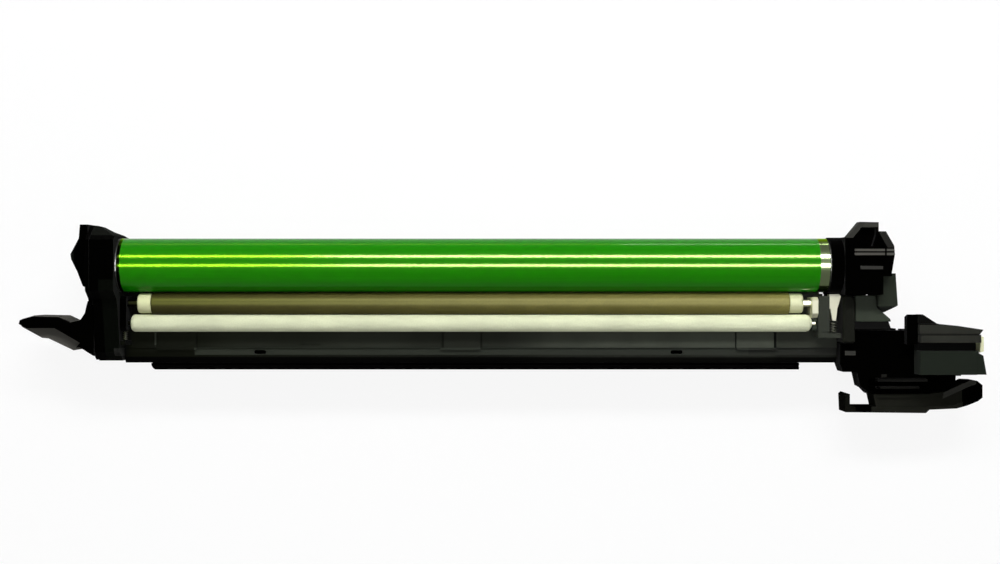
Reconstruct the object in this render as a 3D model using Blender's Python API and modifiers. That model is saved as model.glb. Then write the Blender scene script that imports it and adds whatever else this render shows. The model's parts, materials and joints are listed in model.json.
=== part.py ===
"""Drum unit of a colour copier, lying on its back.

Metres, +Z up. +X runs along the drum from its rear (driven) end to its front end, +Y runs from the rollers
to the open side of the drum, and +Z points from the back of the casing to the drum. The origin lies on the
casing's back face, under the middle of the drum's axis.
"""

from math import atan2, cos, hypot, pi, radians, sin, sqrt

import bmesh
import bpy
from mathutils import Matrix, Vector

MM = 0.001

# Running and assembly clearances
SEAT_GAP = 0.3 * MM  # between pieces that are fixed to each other
RUN_GAP = 0.2 * MM  # radial, between a journal and its bearing

# Photoconductor drum
DRUM_DIAMETER = 30.0 * MM
DRUM_LENGTH = 394.4 * MM
DRUM_WALL = 1.0 * MM
DRUM_AXIS_HEIGHT = 46.0 * MM
JOURNAL_DIAMETER = 11.0 * MM
FLANGE_PLUG_LENGTH = 12.0 * MM
FLANGE_DISC_THICKNESS = 1.6 * MM

# Charge roller
CHARGE_DIAMETER = 12.0 * MM
CHARGE_SHAFT_DIAMETER = 8.0 * MM
CHARGE_STUB_DIAMETER = 4.0 * MM
CHARGE_REAR_INSET = 17.0 * MM  # from the drum tube's end to the end of the rubber
CHARGE_FRONT_INSET = 20.9 * MM
END_RING_DIAMETER = 11.0 * MM
END_RING_WIDTH = 7.6 * MM

# Cleaning roller of the charge roller
CLEANER_DIAMETER = 9.6 * MM
CLEANER_REAR_INSET = 5.3 * MM
CLEANER_FRONT_INSET = 10.4 * MM
CLEANER_NOSE = 2.4 * MM
CLEANER_SHAFT_DIAMETER = 2.6 * MM
ROLLER_LIFT = 0.5 * MM  # travel of the charge roller's bearings away from the drum

# Gear train at the rear end
GEAR_MODULE = 0.8 * MM
DRUM_TEETH = 36
BRUSH_TEETH = 16
IDLER_TEETH = 20
AUGER_TEETH = 18
GEAR_BACKLASH = 0.3 * MM
DRUM_GEAR_WIDTH = 8.4 * MM
GEAR_WIDTH = 3.6 * MM

# Lubricant brush and waste auger
BRUSH_SHAFT_DIAMETER = 5.0 * MM
BRUSH_OFFSET_Y = 2.4 * MM
AUGER_DIAMETER = 9.6 * MM
AUGER_SHAFT_DIAMETER = 4.4 * MM
AUGER_PITCH = 40.0 * MM
AUGER_BLADE = 1.6 * MM
AUGER_Y = -6.3 * MM
AUGER_Z = 10.8 * MM

# Casing section
WALL = 2.2 * MM
CASING_TOP_Y = 11.5 * MM  # outer face of the wall on the open side of the drum
CASING_TOP_HEIGHT = 22.0 * MM
PARTITION_Y = -12.2 * MM  # trough side of the wall between the waste trough and the rollers
BLADE_SEAT_HEIGHT = 26.0 * MM
ROLLER_WALL_Y = -16.0 * MM
ROLLER_FLOOR_HEIGHT = 36.0 * MM
BEAM_Y = -36.2 * MM
BEAM_HEIGHT = 40.0 * MM
BEAM_EDGE_Y = -51.6 * MM
CASING_LOW_Y = -55.0 * MM
BEAM_CHAMFER = 2.4 * MM
RIB_THICKNESS = 1.8 * MM
RIB_COUNT = 9

# End housings, measured outwards from the ends of the drum tube
END_GAP = 0.6 * MM
HOUSING_HEIGHT = 65.0 * MM
HOUSING_WALL = 2.2 * MM
REAR_DEPTH = 13.2 * MM
COVER_THICKNESS = 2.0 * MM
FRONT_HEIGHT = 62.0 * MM

# Derived places
DRUM_RADIUS = DRUM_DIAMETER / 2
CHARGE_RADIUS = CHARGE_DIAMETER / 2
CLEANER_RADIUS = CLEANER_DIAMETER / 2
HALF = DRUM_LENGTH / 2
REAR = -HALF
FRONT = HALF
CHARGE_REAR_END = HALF - CHARGE_REAR_INSET
CHARGE_FRONT_END = HALF - CHARGE_FRONT_INSET
CLEANER_REAR_END = HALF - CLEANER_REAR_INSET
CLEANER_FRONT_END = HALF - CLEANER_FRONT_INSET
CHARGE_Y = -(DRUM_RADIUS + SEAT_GAP + CHARGE_RADIUS)
CLEANER_Y = CHARGE_Y - CHARGE_RADIUS - SEAT_GAP - CLEANER_RADIUS
PITCH = {
    "drum": GEAR_MODULE * DRUM_TEETH / 2,
    "brush": GEAR_MODULE * BRUSH_TEETH / 2,
    "idler": GEAR_MODULE * IDLER_TEETH / 2,
    "auger": GEAR_MODULE * AUGER_TEETH / 2,
}
BRUSH_REACH = PITCH["drum"] + PITCH["brush"]
BRUSH_RADIUS = BRUSH_REACH - DRUM_RADIUS - SEAT_GAP
BRUSH_Z = DRUM_AXIS_HEIGHT - sqrt(BRUSH_REACH**2 - BRUSH_OFFSET_Y**2)

COLOURS = {
    "casing_black": ((0.018, 0.019, 0.018), 0.45, 0.0),
    "housing_black": ((0.010, 0.010, 0.011), 0.42, 0.0),
    "cover_grey": ((0.035, 0.037, 0.033), 0.5, 0.0),
    "drum_green": ((0.02, 0.25, 0.01), 0.12, 0.2),
    "flange_plastic": ((0.03, 0.03, 0.03), 0.4, 0.0),
    "charge_rubber": ((0.13, 0.11, 0.07), 0.55, 0.0),
    "ring_cream": ((0.82, 0.80, 0.68), 0.6, 0.0),
    "foam_cream": ((0.80, 0.79, 0.62), 0.9, 0.0),
    "bearing_white": ((0.80, 0.80, 0.70), 0.4, 0.0),
    "gear_natural": ((0.75, 0.74, 0.66), 0.4, 0.0),
    "shaft_steel": ((0.55, 0.55, 0.55), 0.3, 1.0),
    "sheet_steel": ((0.50, 0.50, 0.49), 0.38, 1.0),
    "spring_steel": ((0.62, 0.62, 0.60), 0.28, 1.0),
    "screw_steel": ((0.60, 0.60, 0.58), 0.32, 1.0),
    "contact_bronze": ((0.62, 0.42, 0.20), 0.3, 1.0),
    "blade_urethane": ((0.55, 0.36, 0.12), 0.35, 0.0),
    "brush_fibre": ((0.06, 0.06, 0.06), 0.95, 0.0),
    "lubricant_wax": ((0.85, 0.85, 0.82), 0.5, 0.0),
    "seal_felt": ((0.30, 0.30, 0.29), 0.95, 0.0),
    "entrance_film": ((0.75, 0.75, 0.70), 0.2, 0.0),
    "auger_plastic": ((0.06, 0.06, 0.06), 0.4, 0.0),
}

for old in list(bpy.data.objects):
    bpy.data.objects.remove(old, do_unlink=True)

parts = bpy.data.collections.new("drum_unit")
cutters = bpy.data.collections.new("cutters")
bpy.context.scene.collection.children.link(parts)
bpy.context.scene.collection.children.link(cutters)


def material(name):
    found = bpy.data.materials.get(name)
    if found:
        return found
    colour, roughness, metallic = COLOURS[name]
    made = bpy.data.materials.new(name)
    made.use_nodes = True
    shader = made.node_tree.nodes["Principled BSDF"]
    shader.inputs["Base Color"].default_value = (*colour, 1.0)
    shader.inputs["Roughness"].default_value = roughness
    shader.inputs["Metallic"].default_value = metallic
    made.diffuse_color = (*colour, 1.0)
    return made


def part(name, mesh, finish, parent=None):
    """A named piece of the unit."""
    obj = bpy.data.objects.new(name, mesh)
    mesh.materials.clear()
    mesh.materials.append(material(finish))
    parts.objects.link(obj)
    if parent:
        obj.parent = parent
    return obj


def axis_empty(name, y, z):
    """An empty on a shaft's axis, which the pieces of that shaft are parented to."""
    empty = bpy.data.objects.new(name, None)
    empty.empty_display_size = 0.02
    empty.location = (0.0, y, z)
    parts.objects.link(empty)
    return empty


def tool(name, mesh):
    """A solid that only cuts or joins another."""
    obj = bpy.data.objects.new(name, mesh)
    obj.hide_render = True
    obj.display_type = "WIRE"
    cutters.objects.link(obj)
    return obj


def combine(target, mesh, name, operation):
    helper = tool(f"{target.name}_{name}", mesh)
    modifier = target.modifiers.new(name, "BOOLEAN")
    modifier.operation = operation
    modifier.solver = "EXACT"
    modifier.object = helper
    return modifier


def cut(target, mesh, name):
    return combine(target, mesh, name, "DIFFERENCE")


def join(target, mesh, name):
    return combine(target, mesh, name, "UNION")


def merged(name, meshes):
    """One mesh of several closed ones that don't touch."""
    bm = bmesh.new()
    for mesh in meshes:
        bm.from_mesh(mesh)
    made = bpy.data.meshes.new(name)
    bm.to_mesh(made)
    bm.free()
    return made


def box(low, high):
    """A box mesh between two corners."""
    bm = bmesh.new()
    bmesh.ops.create_cube(bm, size=1.0)
    size = Vector(high) - Vector(low)
    middle = (Vector(high) + Vector(low)) / 2
    bmesh.ops.scale(bm, vec=size, verts=bm.verts)
    bmesh.ops.translate(bm, vec=middle, verts=bm.verts)
    made = bpy.data.meshes.new("box")
    bm.to_mesh(made)
    bm.free()
    return made


AXIS_TURNS = {
    "x": Matrix.Rotation(pi / 2, 4, "Y"),
    "y": Matrix.Rotation(-pi / 2, 4, "X"),
    "z": Matrix.Identity(4),
}


def cylinder(radius, start, end, centre, axis="x", segments=24, top_radius=None):
    """A cylinder or cone mesh along one axis, from start to end, about the other two coordinates."""
    bm = bmesh.new()
    bmesh.ops.create_cone(
        bm,
        cap_ends=True,
        segments=segments,
        radius1=radius,
        radius2=radius if top_radius is None else top_radius,
        depth=end - start,
    )
    bmesh.ops.transform(bm, matrix=AXIS_TURNS[axis], verts=bm.verts)
    middle = (start + end) / 2
    place = {
        "x": (middle, centre[0], centre[1]),
        "y": (centre[0], middle, centre[1]),
        "z": (centre[0], centre[1], middle),
    }[axis]
    bmesh.ops.translate(bm, vec=place, verts=bm.verts)
    made = bpy.data.meshes.new("cylinder")
    bm.to_mesh(made)
    bm.free()
    return made


def flat(outlines, thickness, matrix):
    """The mesh of a flat outline with holes, as thick as given, put in place by a matrix."""
    curve = bpy.data.curves.new("outline", "CURVE")
    curve.dimensions = "2D"
    curve.fill_mode = "BOTH"
    curve.extrude = thickness / 2
    for points in outlines:
        spline = curve.splines.new("POLY")
        spline.points.add(len(points) - 1)
        for point, (u, v) in zip(spline.points, points):
            point.co = (u, v, 0.0, 1.0)
        spline.use_cyclic_u = True
    drawn = bpy.data.objects.new("outline", curve)
    bpy.context.scene.collection.objects.link(drawn)
    depsgraph = bpy.context.evaluated_depsgraph_get()
    mesh = bpy.data.meshes.new_from_object(drawn.evaluated_get(depsgraph))
    bpy.data.objects.remove(drawn, do_unlink=True)
    bm = bmesh.new()
    bm.from_mesh(mesh)
    bmesh.ops.remove_doubles(bm, verts=bm.verts, dist=0.00001)
    bmesh.ops.transform(bm, matrix=matrix, verts=bm.verts)
    bmesh.ops.recalc_face_normals(bm, faces=bm.faces)
    bm.to_mesh(mesh)
    bm.free()
    mesh.materials.clear()
    return mesh


def slab_xy(outlines, low, high):
    """An outline in X and Y between two heights."""
    return flat(outlines, high - low, Matrix.Translation((0.0, 0.0, (low + high) / 2)))


def slab_yz(outlines, start, end):
    """An outline in Y and Z between two places along X."""
    turn = Matrix(((0, 0, 1, 0), (1, 0, 0, 0), (0, 1, 0, 0), (0, 0, 0, 1)))
    return flat(outlines, end - start, Matrix.Translation(((start + end) / 2, 0.0, 0.0)) @ turn)


def slab_xz(outlines, start, end):
    """An outline in X and Z between two places along Y."""
    turn = Matrix(((1, 0, 0, 0), (0, 0, -1, 0), (0, 1, 0, 0), (0, 0, 0, 1)))
    return flat(outlines, end - start, Matrix.Translation((0.0, (start + end) / 2, 0.0)) @ turn)


def circle(radius, centre=(0.0, 0.0), count=32, start=0.0):
    return [
        (
            centre[0] + radius * cos(start + 2 * pi * i / count),
            centre[1] + radius * sin(start + 2 * pi * i / count),
        )
        for i in range(count)
    ]


def turned(name, profile, finish, parent=None, segments=32, closed=False):
    """A shape turned about X. The profile is (x, radius) points, from low x to high x on its outer side."""
    mesh = bpy.data.meshes.new(name)
    bm = bmesh.new()
    corners = [bm.verts.new((radius, 0.0, x)) for x, radius in reversed(profile)]
    ends = corners[1:] + corners[:1] if closed else corners[1:]
    for first, second in zip(corners, ends):
        bm.edges.new((first, second))
    bm.to_mesh(mesh)
    bm.free()
    obj = part(name, mesh, finish, parent)
    obj.rotation_euler = (0.0, pi / 2, 0.0)
    screw = obj.modifiers.new("turn", "SCREW")
    screw.axis = "Z"
    screw.steps = segments
    screw.render_steps = segments
    screw.use_merge_vertices = True
    screw.merge_threshold = 0.00001
    return obj


def smooth(obj, angle=40.0):
    obj.data.shade_smooth()
    obj.data.set_sharp_from_angle(angle=radians(angle))
    return obj


def millimetres(points):
    return [(u * MM, v * MM) for u, v in points]


def outward(points, end):
    """An outline given outwards from one end of the drum tube, in millimetres, as X and Y."""
    side = -1 if end < 0 else 1
    placed = [(end + side * u * MM, v * MM) for u, v in points]
    return placed if side > 0 else placed[::-1]


# Gears
ADDENDUM = 0.85
DEDENDUM = 1.2
PRESSURE_SLOPE = 0.364  # tangent of 20 degrees


def gear_outline(teeth, phase, centre=(0.0, 0.0)):
    """Straight-flanked teeth in Y and Z, one tooth centred on the phase angle."""
    pitch = GEAR_MODULE * teeth / 2
    tip = pitch + ADDENDUM * GEAR_MODULE
    root = pitch - DEDENDUM * GEAR_MODULE
    half = (pi * GEAR_MODULE / 2 - GEAR_BACKLASH) / 2
    half_tip = (half - ADDENDUM * GEAR_MODULE * PRESSURE_SLOPE) / pitch
    half_root = (half + DEDENDUM * GEAR_MODULE * PRESSURE_SLOPE) / pitch
    points = []
    for i in range(teeth):
        middle = phase + 2 * pi * i / teeth
        corners = ((root, -half_root), (tip, -half_tip), (tip, half_tip), (root, half_root))
        for radius, turn in corners:
            points.append((centre[0] + radius * cos(middle + turn), centre[1] + radius * sin(middle + turn)))
    return points


def mesh_phase(angle, phase, teeth, next_teeth):
    """The phase of the next gear, whose teeth stand in the gaps of the first along the angle between them."""
    share = (angle - phase) * teeth / (2 * pi)
    return angle + pi + (share + 0.5) * 2 * pi / next_teeth


def idler_place():
    """The idler's axis, where its pitch circle touches those of the drum's gear and the auger's gear."""
    run = hypot(AUGER_Y, AUGER_Z - DRUM_AXIS_HEIGHT)
    near = PITCH["drum"] + PITCH["idler"]
    far = PITCH["auger"] + PITCH["idler"]
    along = (near**2 - far**2 + run**2) / (2 * run)
    aside = sqrt(near**2 - along**2)
    to_y = AUGER_Y / run
    to_z = (AUGER_Z - DRUM_AXIS_HEIGHT) / run
    return along * to_y + aside * to_z, DRUM_AXIS_HEIGHT + along * to_z - aside * to_y


BRUSH_Y = BRUSH_OFFSET_Y
IDLER_Y, IDLER_Z = idler_place()
TO_BRUSH = atan2(BRUSH_Z - DRUM_AXIS_HEIGHT, BRUSH_Y)
TO_IDLER = atan2(IDLER_Z - DRUM_AXIS_HEIGHT, IDLER_Y)
TO_AUGER = atan2(AUGER_Z - IDLER_Z, AUGER_Y - IDLER_Y)
DRUM_PHASE = TO_BRUSH
BRUSH_PHASE = mesh_phase(TO_BRUSH, DRUM_PHASE, DRUM_TEETH, BRUSH_TEETH)
IDLER_PHASE = mesh_phase(TO_IDLER, DRUM_PHASE, DRUM_TEETH, IDLER_TEETH)
AUGER_PHASE = mesh_phase(TO_AUGER, IDLER_PHASE, IDLER_TEETH, AUGER_TEETH)

# Places along the rear gear train
REAR_WALL = REAR - END_GAP  # inner face of the rear housing
DRUM_GEAR_START = REAR_WALL - HOUSING_WALL - SEAT_GAP
DRUM_GEAR_END = DRUM_GEAR_START - DRUM_GEAR_WIDTH
BRUSH_GEAR_START = DRUM_GEAR_START - 0.2 * MM
IDLER_GEAR_START = DRUM_GEAR_END + GEAR_WIDTH + 0.2 * MM
COVER_INNER = REAR_WALL - REAR_DEPTH - SEAT_GAP
COVER_OUTER = COVER_INNER - COVER_THICKNESS
FRONT_WALL = FRONT + END_GAP
JOURNAL_RADIUS = JOURNAL_DIAMETER / 2
BEARING_WALL = 2.6 * MM
BEARING_WIDTH = 5.0 * MM
COUPLING_RADIUS = 4.8 * MM
COUPLING_LENGTH = 5.0 * MM
REAR_BEARING_START = COVER_INNER - BEARING_WIDTH + 1.6 * MM
JOURNAL_END = REAR_BEARING_START - 0.6 * MM
FRONT_BEARING_START = FRONT_WALL + 4.6 * MM


def drum(spindle):
    """The coated aluminium tube between its two flanges."""
    inner = DRUM_RADIUS - DRUM_WALL
    tube = turned(
        "drum_tube",
        [(REAR, DRUM_RADIUS), (FRONT, DRUM_RADIUS), (FRONT, inner), (REAR, inner)],
        "drum_green",
        spindle,
        segments=64,
        closed=True,
    )
    smooth(tube)

    plug = inner - SEAT_GAP
    disc = DRUM_RADIUS - 0.1 * MM
    rim = DRUM_RADIUS - 1.1 * MM
    gear_root = PITCH["drum"] - (DEDENDUM + 0.2) * GEAR_MODULE
    rear = turned(
        "rear_drum_flange",
        [
            (JOURNAL_END, 0.0),
            (JOURNAL_END, JOURNAL_RADIUS - 0.6 * MM),
            (JOURNAL_END + 0.6 * MM, JOURNAL_RADIUS),
            (DRUM_GEAR_END - 0.4 * MM, JOURNAL_RADIUS),
            (DRUM_GEAR_END - 0.4 * MM, JOURNAL_RADIUS + 3.0 * MM),
            (DRUM_GEAR_END + 0.4 * MM, JOURNAL_RADIUS + 3.0 * MM),
            (DRUM_GEAR_END + 0.4 * MM, gear_root),
            (DRUM_GEAR_START + 0.3 * MM, gear_root),
            (DRUM_GEAR_START + 0.3 * MM, disc),
            (REAR - SEAT_GAP, disc),
            (REAR - SEAT_GAP, plug),
            (REAR + FLANGE_PLUG_LENGTH - 1.0 * MM, plug),
            (REAR + FLANGE_PLUG_LENGTH, plug - 0.8 * MM),
            (REAR + FLANGE_PLUG_LENGTH, 0.0),
        ],
        "gear_natural",
        spindle,
        segments=28,
    )
    centre = (0.0, DRUM_AXIS_HEIGHT)
    teeth = gear_outline(DRUM_TEETH, DRUM_PHASE, centre)
    join(rear, slab_yz([teeth], DRUM_GEAR_END, DRUM_GEAR_START), "teeth")
    lobes = []
    for i in range(3):
        for turn in (-16, 0, 16):
            angle = radians(120 * i + turn)
            lobes.append((COUPLING_RADIUS * cos(angle), DRUM_AXIS_HEIGHT + COUPLING_RADIUS * sin(angle)))
    join(rear, slab_yz([lobes], JOURNAL_END - COUPLING_LENGTH, JOURNAL_END + 1.2 * MM), "coupling")
    smooth(rear)

    front = turned(
        "front_drum_flange",
        [
            (FRONT - FLANGE_PLUG_LENGTH, 0.0),
            (FRONT - FLANGE_PLUG_LENGTH, plug - 0.8 * MM),
            (FRONT - FLANGE_PLUG_LENGTH + 1.0 * MM, plug),
            (FRONT + SEAT_GAP, plug),
            (FRONT + SEAT_GAP, rim),
            (FRONT + SEAT_GAP + FLANGE_DISC_THICKNESS, rim),
            (FRONT + SEAT_GAP + FLANGE_DISC_THICKNESS, JOURNAL_RADIUS + 2.4 * MM),
            (FRONT_BEARING_START - 0.4 * MM, JOURNAL_RADIUS + 2.4 * MM),
            (FRONT_BEARING_START - 0.4 * MM, JOURNAL_RADIUS),
            (FRONT_BEARING_START + BEARING_WIDTH + 0.6 * MM, JOURNAL_RADIUS),
            (FRONT_BEARING_START + BEARING_WIDTH + 1.2 * MM, JOURNAL_RADIUS - 0.6 * MM),
            (FRONT_BEARING_START + BEARING_WIDTH + 1.2 * MM, 0.0),
        ],
        "flange_plastic",
        spindle,
        segments=28,
    )
    smooth(front)

    petals = []
    for i in range(24):
        reach = plug if i % 8 < 2 else plug - 3.2 * MM
        angle = 2 * pi * i / 24
        petals.append((reach * cos(angle), DRUM_AXIS_HEIGHT + reach * sin(angle)))
    start = FRONT - FLANGE_PLUG_LENGTH - SEAT_GAP - 0.5 * MM
    slot = circle(2.6 * MM, centre, 16)
    plate = slab_yz([petals, slot], start, start + 0.5 * MM)
    earth = part("drum_earth_plate", plate, "contact_bronze")
    earth.parent = spindle
    earth.matrix_parent_inverse = Matrix.Translation((0.0, 0.0, -DRUM_AXIS_HEIGHT))


def drum_bearings():
    """The two plain bearings that the flanges' journals turn in."""
    places = {"rear_drum_bearing": REAR_BEARING_START, "front_drum_bearing": FRONT_BEARING_START}
    bore = JOURNAL_RADIUS + RUN_GAP
    axis = axis_empty("bearing_line", 0.0, DRUM_AXIS_HEIGHT)
    for name, start in places.items():
        ring = turned(
            name,
            [
                (start, bore + BEARING_WALL),
                (start + BEARING_WIDTH, bore + BEARING_WALL),
                (start + BEARING_WIDTH, bore),
                (start, bore),
            ],
            "bearing_white",
            axis,
            segments=28,
            closed=True,
        )
        smooth(ring)


# Charging rollers
STUB_RADIUS = CHARGE_STUB_DIAMETER / 2
CHARGE_SHAFT_RADIUS = CHARGE_SHAFT_DIAMETER / 2
CLEANER_SHAFT_RADIUS = CLEANER_SHAFT_DIAMETER / 2
REAR_BLOCK = REAR + 3.4 * MM  # roller side of the rear bearing slider
FRONT_FLANGE = CHARGE_FRONT_END + END_RING_WIDTH + 4.7 * MM  # roller side of the front bearing slider
FLANGE_WIDTH = 3.3 * MM


def roller_sleeve(name, start, end, radius, bore, finish, parent, chamfer, segments=40):
    sleeve = turned(
        name,
        [
            (start, radius - chamfer),
            (start + chamfer, radius),
            (end - chamfer, radius),
            (end, radius - chamfer),
            (end, bore),
            (start, bore),
        ],
        finish,
        parent,
        segments=segments,
        closed=True,
    )
    return smooth(sleeve)


def charge_roller(spindle):
    """The conductive rubber roller with its stepped shaft and the two cream rings at its ends."""
    rear = -CHARGE_REAR_END
    front = CHARGE_FRONT_END
    bore = CHARGE_SHAFT_RADIUS + 0.1 * MM
    roller_sleeve("charge_roller", rear, front, CHARGE_RADIUS, bore, "charge_rubber", spindle, 0.3 * MM, 48)
    ring_radius = END_RING_DIAMETER / 2
    gap = 0.1 * MM
    roller_sleeve(
        "rear_end_ring",
        rear - gap - END_RING_WIDTH,
        rear - gap,
        ring_radius,
        bore,
        "ring_cream",
        spindle,
        1.0 * MM,
        32,
    )
    roller_sleeve(
        "front_end_ring",
        front + gap,
        front + gap + END_RING_WIDTH,
        ring_radius,
        bore,
        "ring_cream",
        spindle,
        0.7 * MM,
        32,
    )
    low = rear - gap - END_RING_WIDTH + 0.4 * MM
    high = front + gap + END_RING_WIDTH - 0.4 * MM
    stub_end = FRONT_FLANGE + FLANGE_WIDTH + 3.0 * MM
    shaft = turned(
        "charge_shaft",
        [
            (REAR_BLOCK - 3.0 * MM, 0.0),
            (REAR_BLOCK - 3.0 * MM, STUB_RADIUS),
            (low, STUB_RADIUS),
            (low, CHARGE_SHAFT_RADIUS),
            (high, CHARGE_SHAFT_RADIUS),
            (high, STUB_RADIUS),
            (stub_end, STUB_RADIUS),
            (stub_end, 0.0),
        ],
        "shaft_steel",
        spindle,
        segments=24,
    )
    smooth(shaft)


def cleaning_roller(spindle):
    """The foam roller that wipes the charge roller, round at its rear end and tapered at its front end."""
    rear = -CLEANER_REAR_END
    front = CLEANER_FRONT_END
    bore = CLEANER_SHAFT_RADIUS + 0.1 * MM
    rounded = []
    for i in range(5):
        angle = radians(90 * i / 4)
        x = rear + CLEANER_NOSE * (1 - cos(angle))
        rounded.append((x, CLEANER_RADIUS - CLEANER_NOSE * (1 - sin(angle))))
    taper = [(front, CLEANER_RADIUS), (front + CLEANER_NOSE, CLEANER_SHAFT_RADIUS + 0.6 * MM)]
    foam = turned(
        "cleaning_roller",
        rounded + taper + [(front + CLEANER_NOSE, bore), (rear, bore)],
        "foam_cream",
        spindle,
        segments=36,
        closed=True,
    )
    smooth(foam)
    shaft = turned(
        "cleaner_shaft",
        [
            (REAR_BLOCK - 2.4 * MM, 0.0),
            (REAR_BLOCK - 2.4 * MM, CLEANER_SHAFT_RADIUS),
            (FRONT_FLANGE + FLANGE_WIDTH - 0.6 * MM, CLEANER_SHAFT_RADIUS),
            (FRONT_FLANGE + FLANGE_WIDTH - 0.6 * MM, 0.0),
        ],
        "shaft_steel",
        spindle,
        segments=16,
    )
    smooth(shaft)


# Springs
SPRING_WIRE = 0.35 * MM
SPRING_TURNS = 4
SPRING_STEPS = 8
AXES = {"x": (0, 1, 2), "y": (1, 2, 0), "z": (2, 0, 1)}


def coil_spring(name, axis, start, end, centre, radius, wire=SPRING_WIRE, turns=SPRING_TURNS):
    """A compression spring along one axis, its wire a curve with filled caps."""
    curve = bpy.data.curves.new(name, "CURVE")
    curve.dimensions = "3D"
    curve.bevel_depth = wire
    curve.bevel_resolution = 1
    curve.use_fill_caps = True
    spline = curve.splines.new("POLY")
    count = turns * SPRING_STEPS
    spline.points.add(count)
    along, first, second = AXES[axis]
    for i, point in enumerate(spline.points):
        angle = 2 * pi * i / SPRING_STEPS
        place = [0.0, 0.0, 0.0]
        place[along] = start + wire + (end - start - 2 * wire) * i / count
        place[first] = centre[0] + radius * cos(angle)
        place[second] = centre[1] + radius * sin(angle)
        point.co = (*place, 1.0)
    obj = bpy.data.objects.new(name, curve)
    curve.materials.append(material("spring_steel"))
    parts.objects.link(obj)
    return obj


# Sliding bearings of the charge roller
FLANGE_TOP_Y = CHARGE_Y + 3.4 * MM
FLANGE_LOW_Y = CHARGE_Y - 8.2 * MM
FLANGE_TOP_Z = DRUM_AXIS_HEIGHT + 6.4 * MM
NECK_HALF = 2.9 * MM
CHEEK_START = FRONT_FLANGE + FLANGE_WIDTH + SEAT_GAP
CHEEK_END = FRONT + 1.1 * MM
WEDGE_START = CHEEK_END + SEAT_GAP
WEDGE_LOW_Y = CHARGE_Y - 9.7 * MM
WEDGE_X = WEDGE_START + 2.8 * MM  # middle of the wedge's foot, where its spring stands
SEAT_Y = WEDGE_LOW_Y - 7.0 * MM  # frame's seat of the front spring
SPRING_RADIUS = 1.9 * MM
SLIDER_FLOOR = ROLLER_FLOOR_HEIGHT + SEAT_GAP
CLIP_LOW_Y = CLEANER_Y - 4.2 * MM
BLOCK_START = REAR_BLOCK - 3.4 * MM
BLOCK_TOP_Y = CHARGE_Y + 4.0 * MM
BLOCK_TOP_Z = DRUM_AXIS_HEIGHT + 5.4 * MM
LUG_Y = CLIP_LOW_Y - 5.6 * MM  # frame's seat of the rear spring
LUG_THICKNESS = 2.3 * MM


def wedge_outline():
    """The white wedge outside the cheek: broad at the drum, narrow at its spring."""
    top = -(DRUM_RADIUS + 0.6 * MM + 2 * SEAT_GAP)
    foot = 1.0 * MM
    return [
        (WEDGE_START, top),
        (WEDGE_START + 5.6 * MM, top),
        (WEDGE_START + 6.6 * MM, top - 1.2 * MM),
        (WEDGE_START + 4.6 * MM, top - 8.0 * MM),
        (WEDGE_X + foot, WEDGE_LOW_Y),
        (WEDGE_X - foot, WEDGE_LOW_Y),
        (WEDGE_START + 0.4 * MM, top - 6.4 * MM),
    ][::-1]


def front_slider():
    """The white bearing of the charge roller: inner flange, neck through the cheek and outer wedge."""
    start = FRONT_FLANGE
    end = FRONT_FLANGE + FLANGE_WIDTH
    outline = [
        (FLANGE_TOP_Y, SLIDER_FLOOR),
        (FLANGE_TOP_Y, FLANGE_TOP_Z - 2.0 * MM),
        (FLANGE_TOP_Y - 1.6 * MM, FLANGE_TOP_Z),
        (FLANGE_LOW_Y + 2.6 * MM, FLANGE_TOP_Z),
        (FLANGE_LOW_Y, FLANGE_TOP_Z - 3.2 * MM),
        (FLANGE_LOW_Y, SLIDER_FLOOR),
    ][::-1]
    bore = circle(STUB_RADIUS + RUN_GAP, (CHARGE_Y, DRUM_AXIS_HEIGHT), 28)
    slider = part("front_bearing_slider", slab_yz([outline, bore], start, end), "bearing_white")
    low = DRUM_AXIS_HEIGHT - NECK_HALF
    high = DRUM_AXIS_HEIGHT + NECK_HALF
    neck = box(
        (end - 1.0 * MM, CHARGE_Y - 3.0 * MM, low),
        (WEDGE_START + 1.5 * MM, CHARGE_Y + 2.7 * MM, high),
    )
    join(slider, neck, "neck")
    join(slider, slab_xy([wedge_outline()], low, high), "wedge")
    stub = cylinder(
        STUB_RADIUS + RUN_GAP, start - MM, end + 3.4 * MM, (CHARGE_Y, DRUM_AXIS_HEIGHT), segments=28
    )
    cut(slider, stub, "shaft_bore")
    return slider


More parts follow.
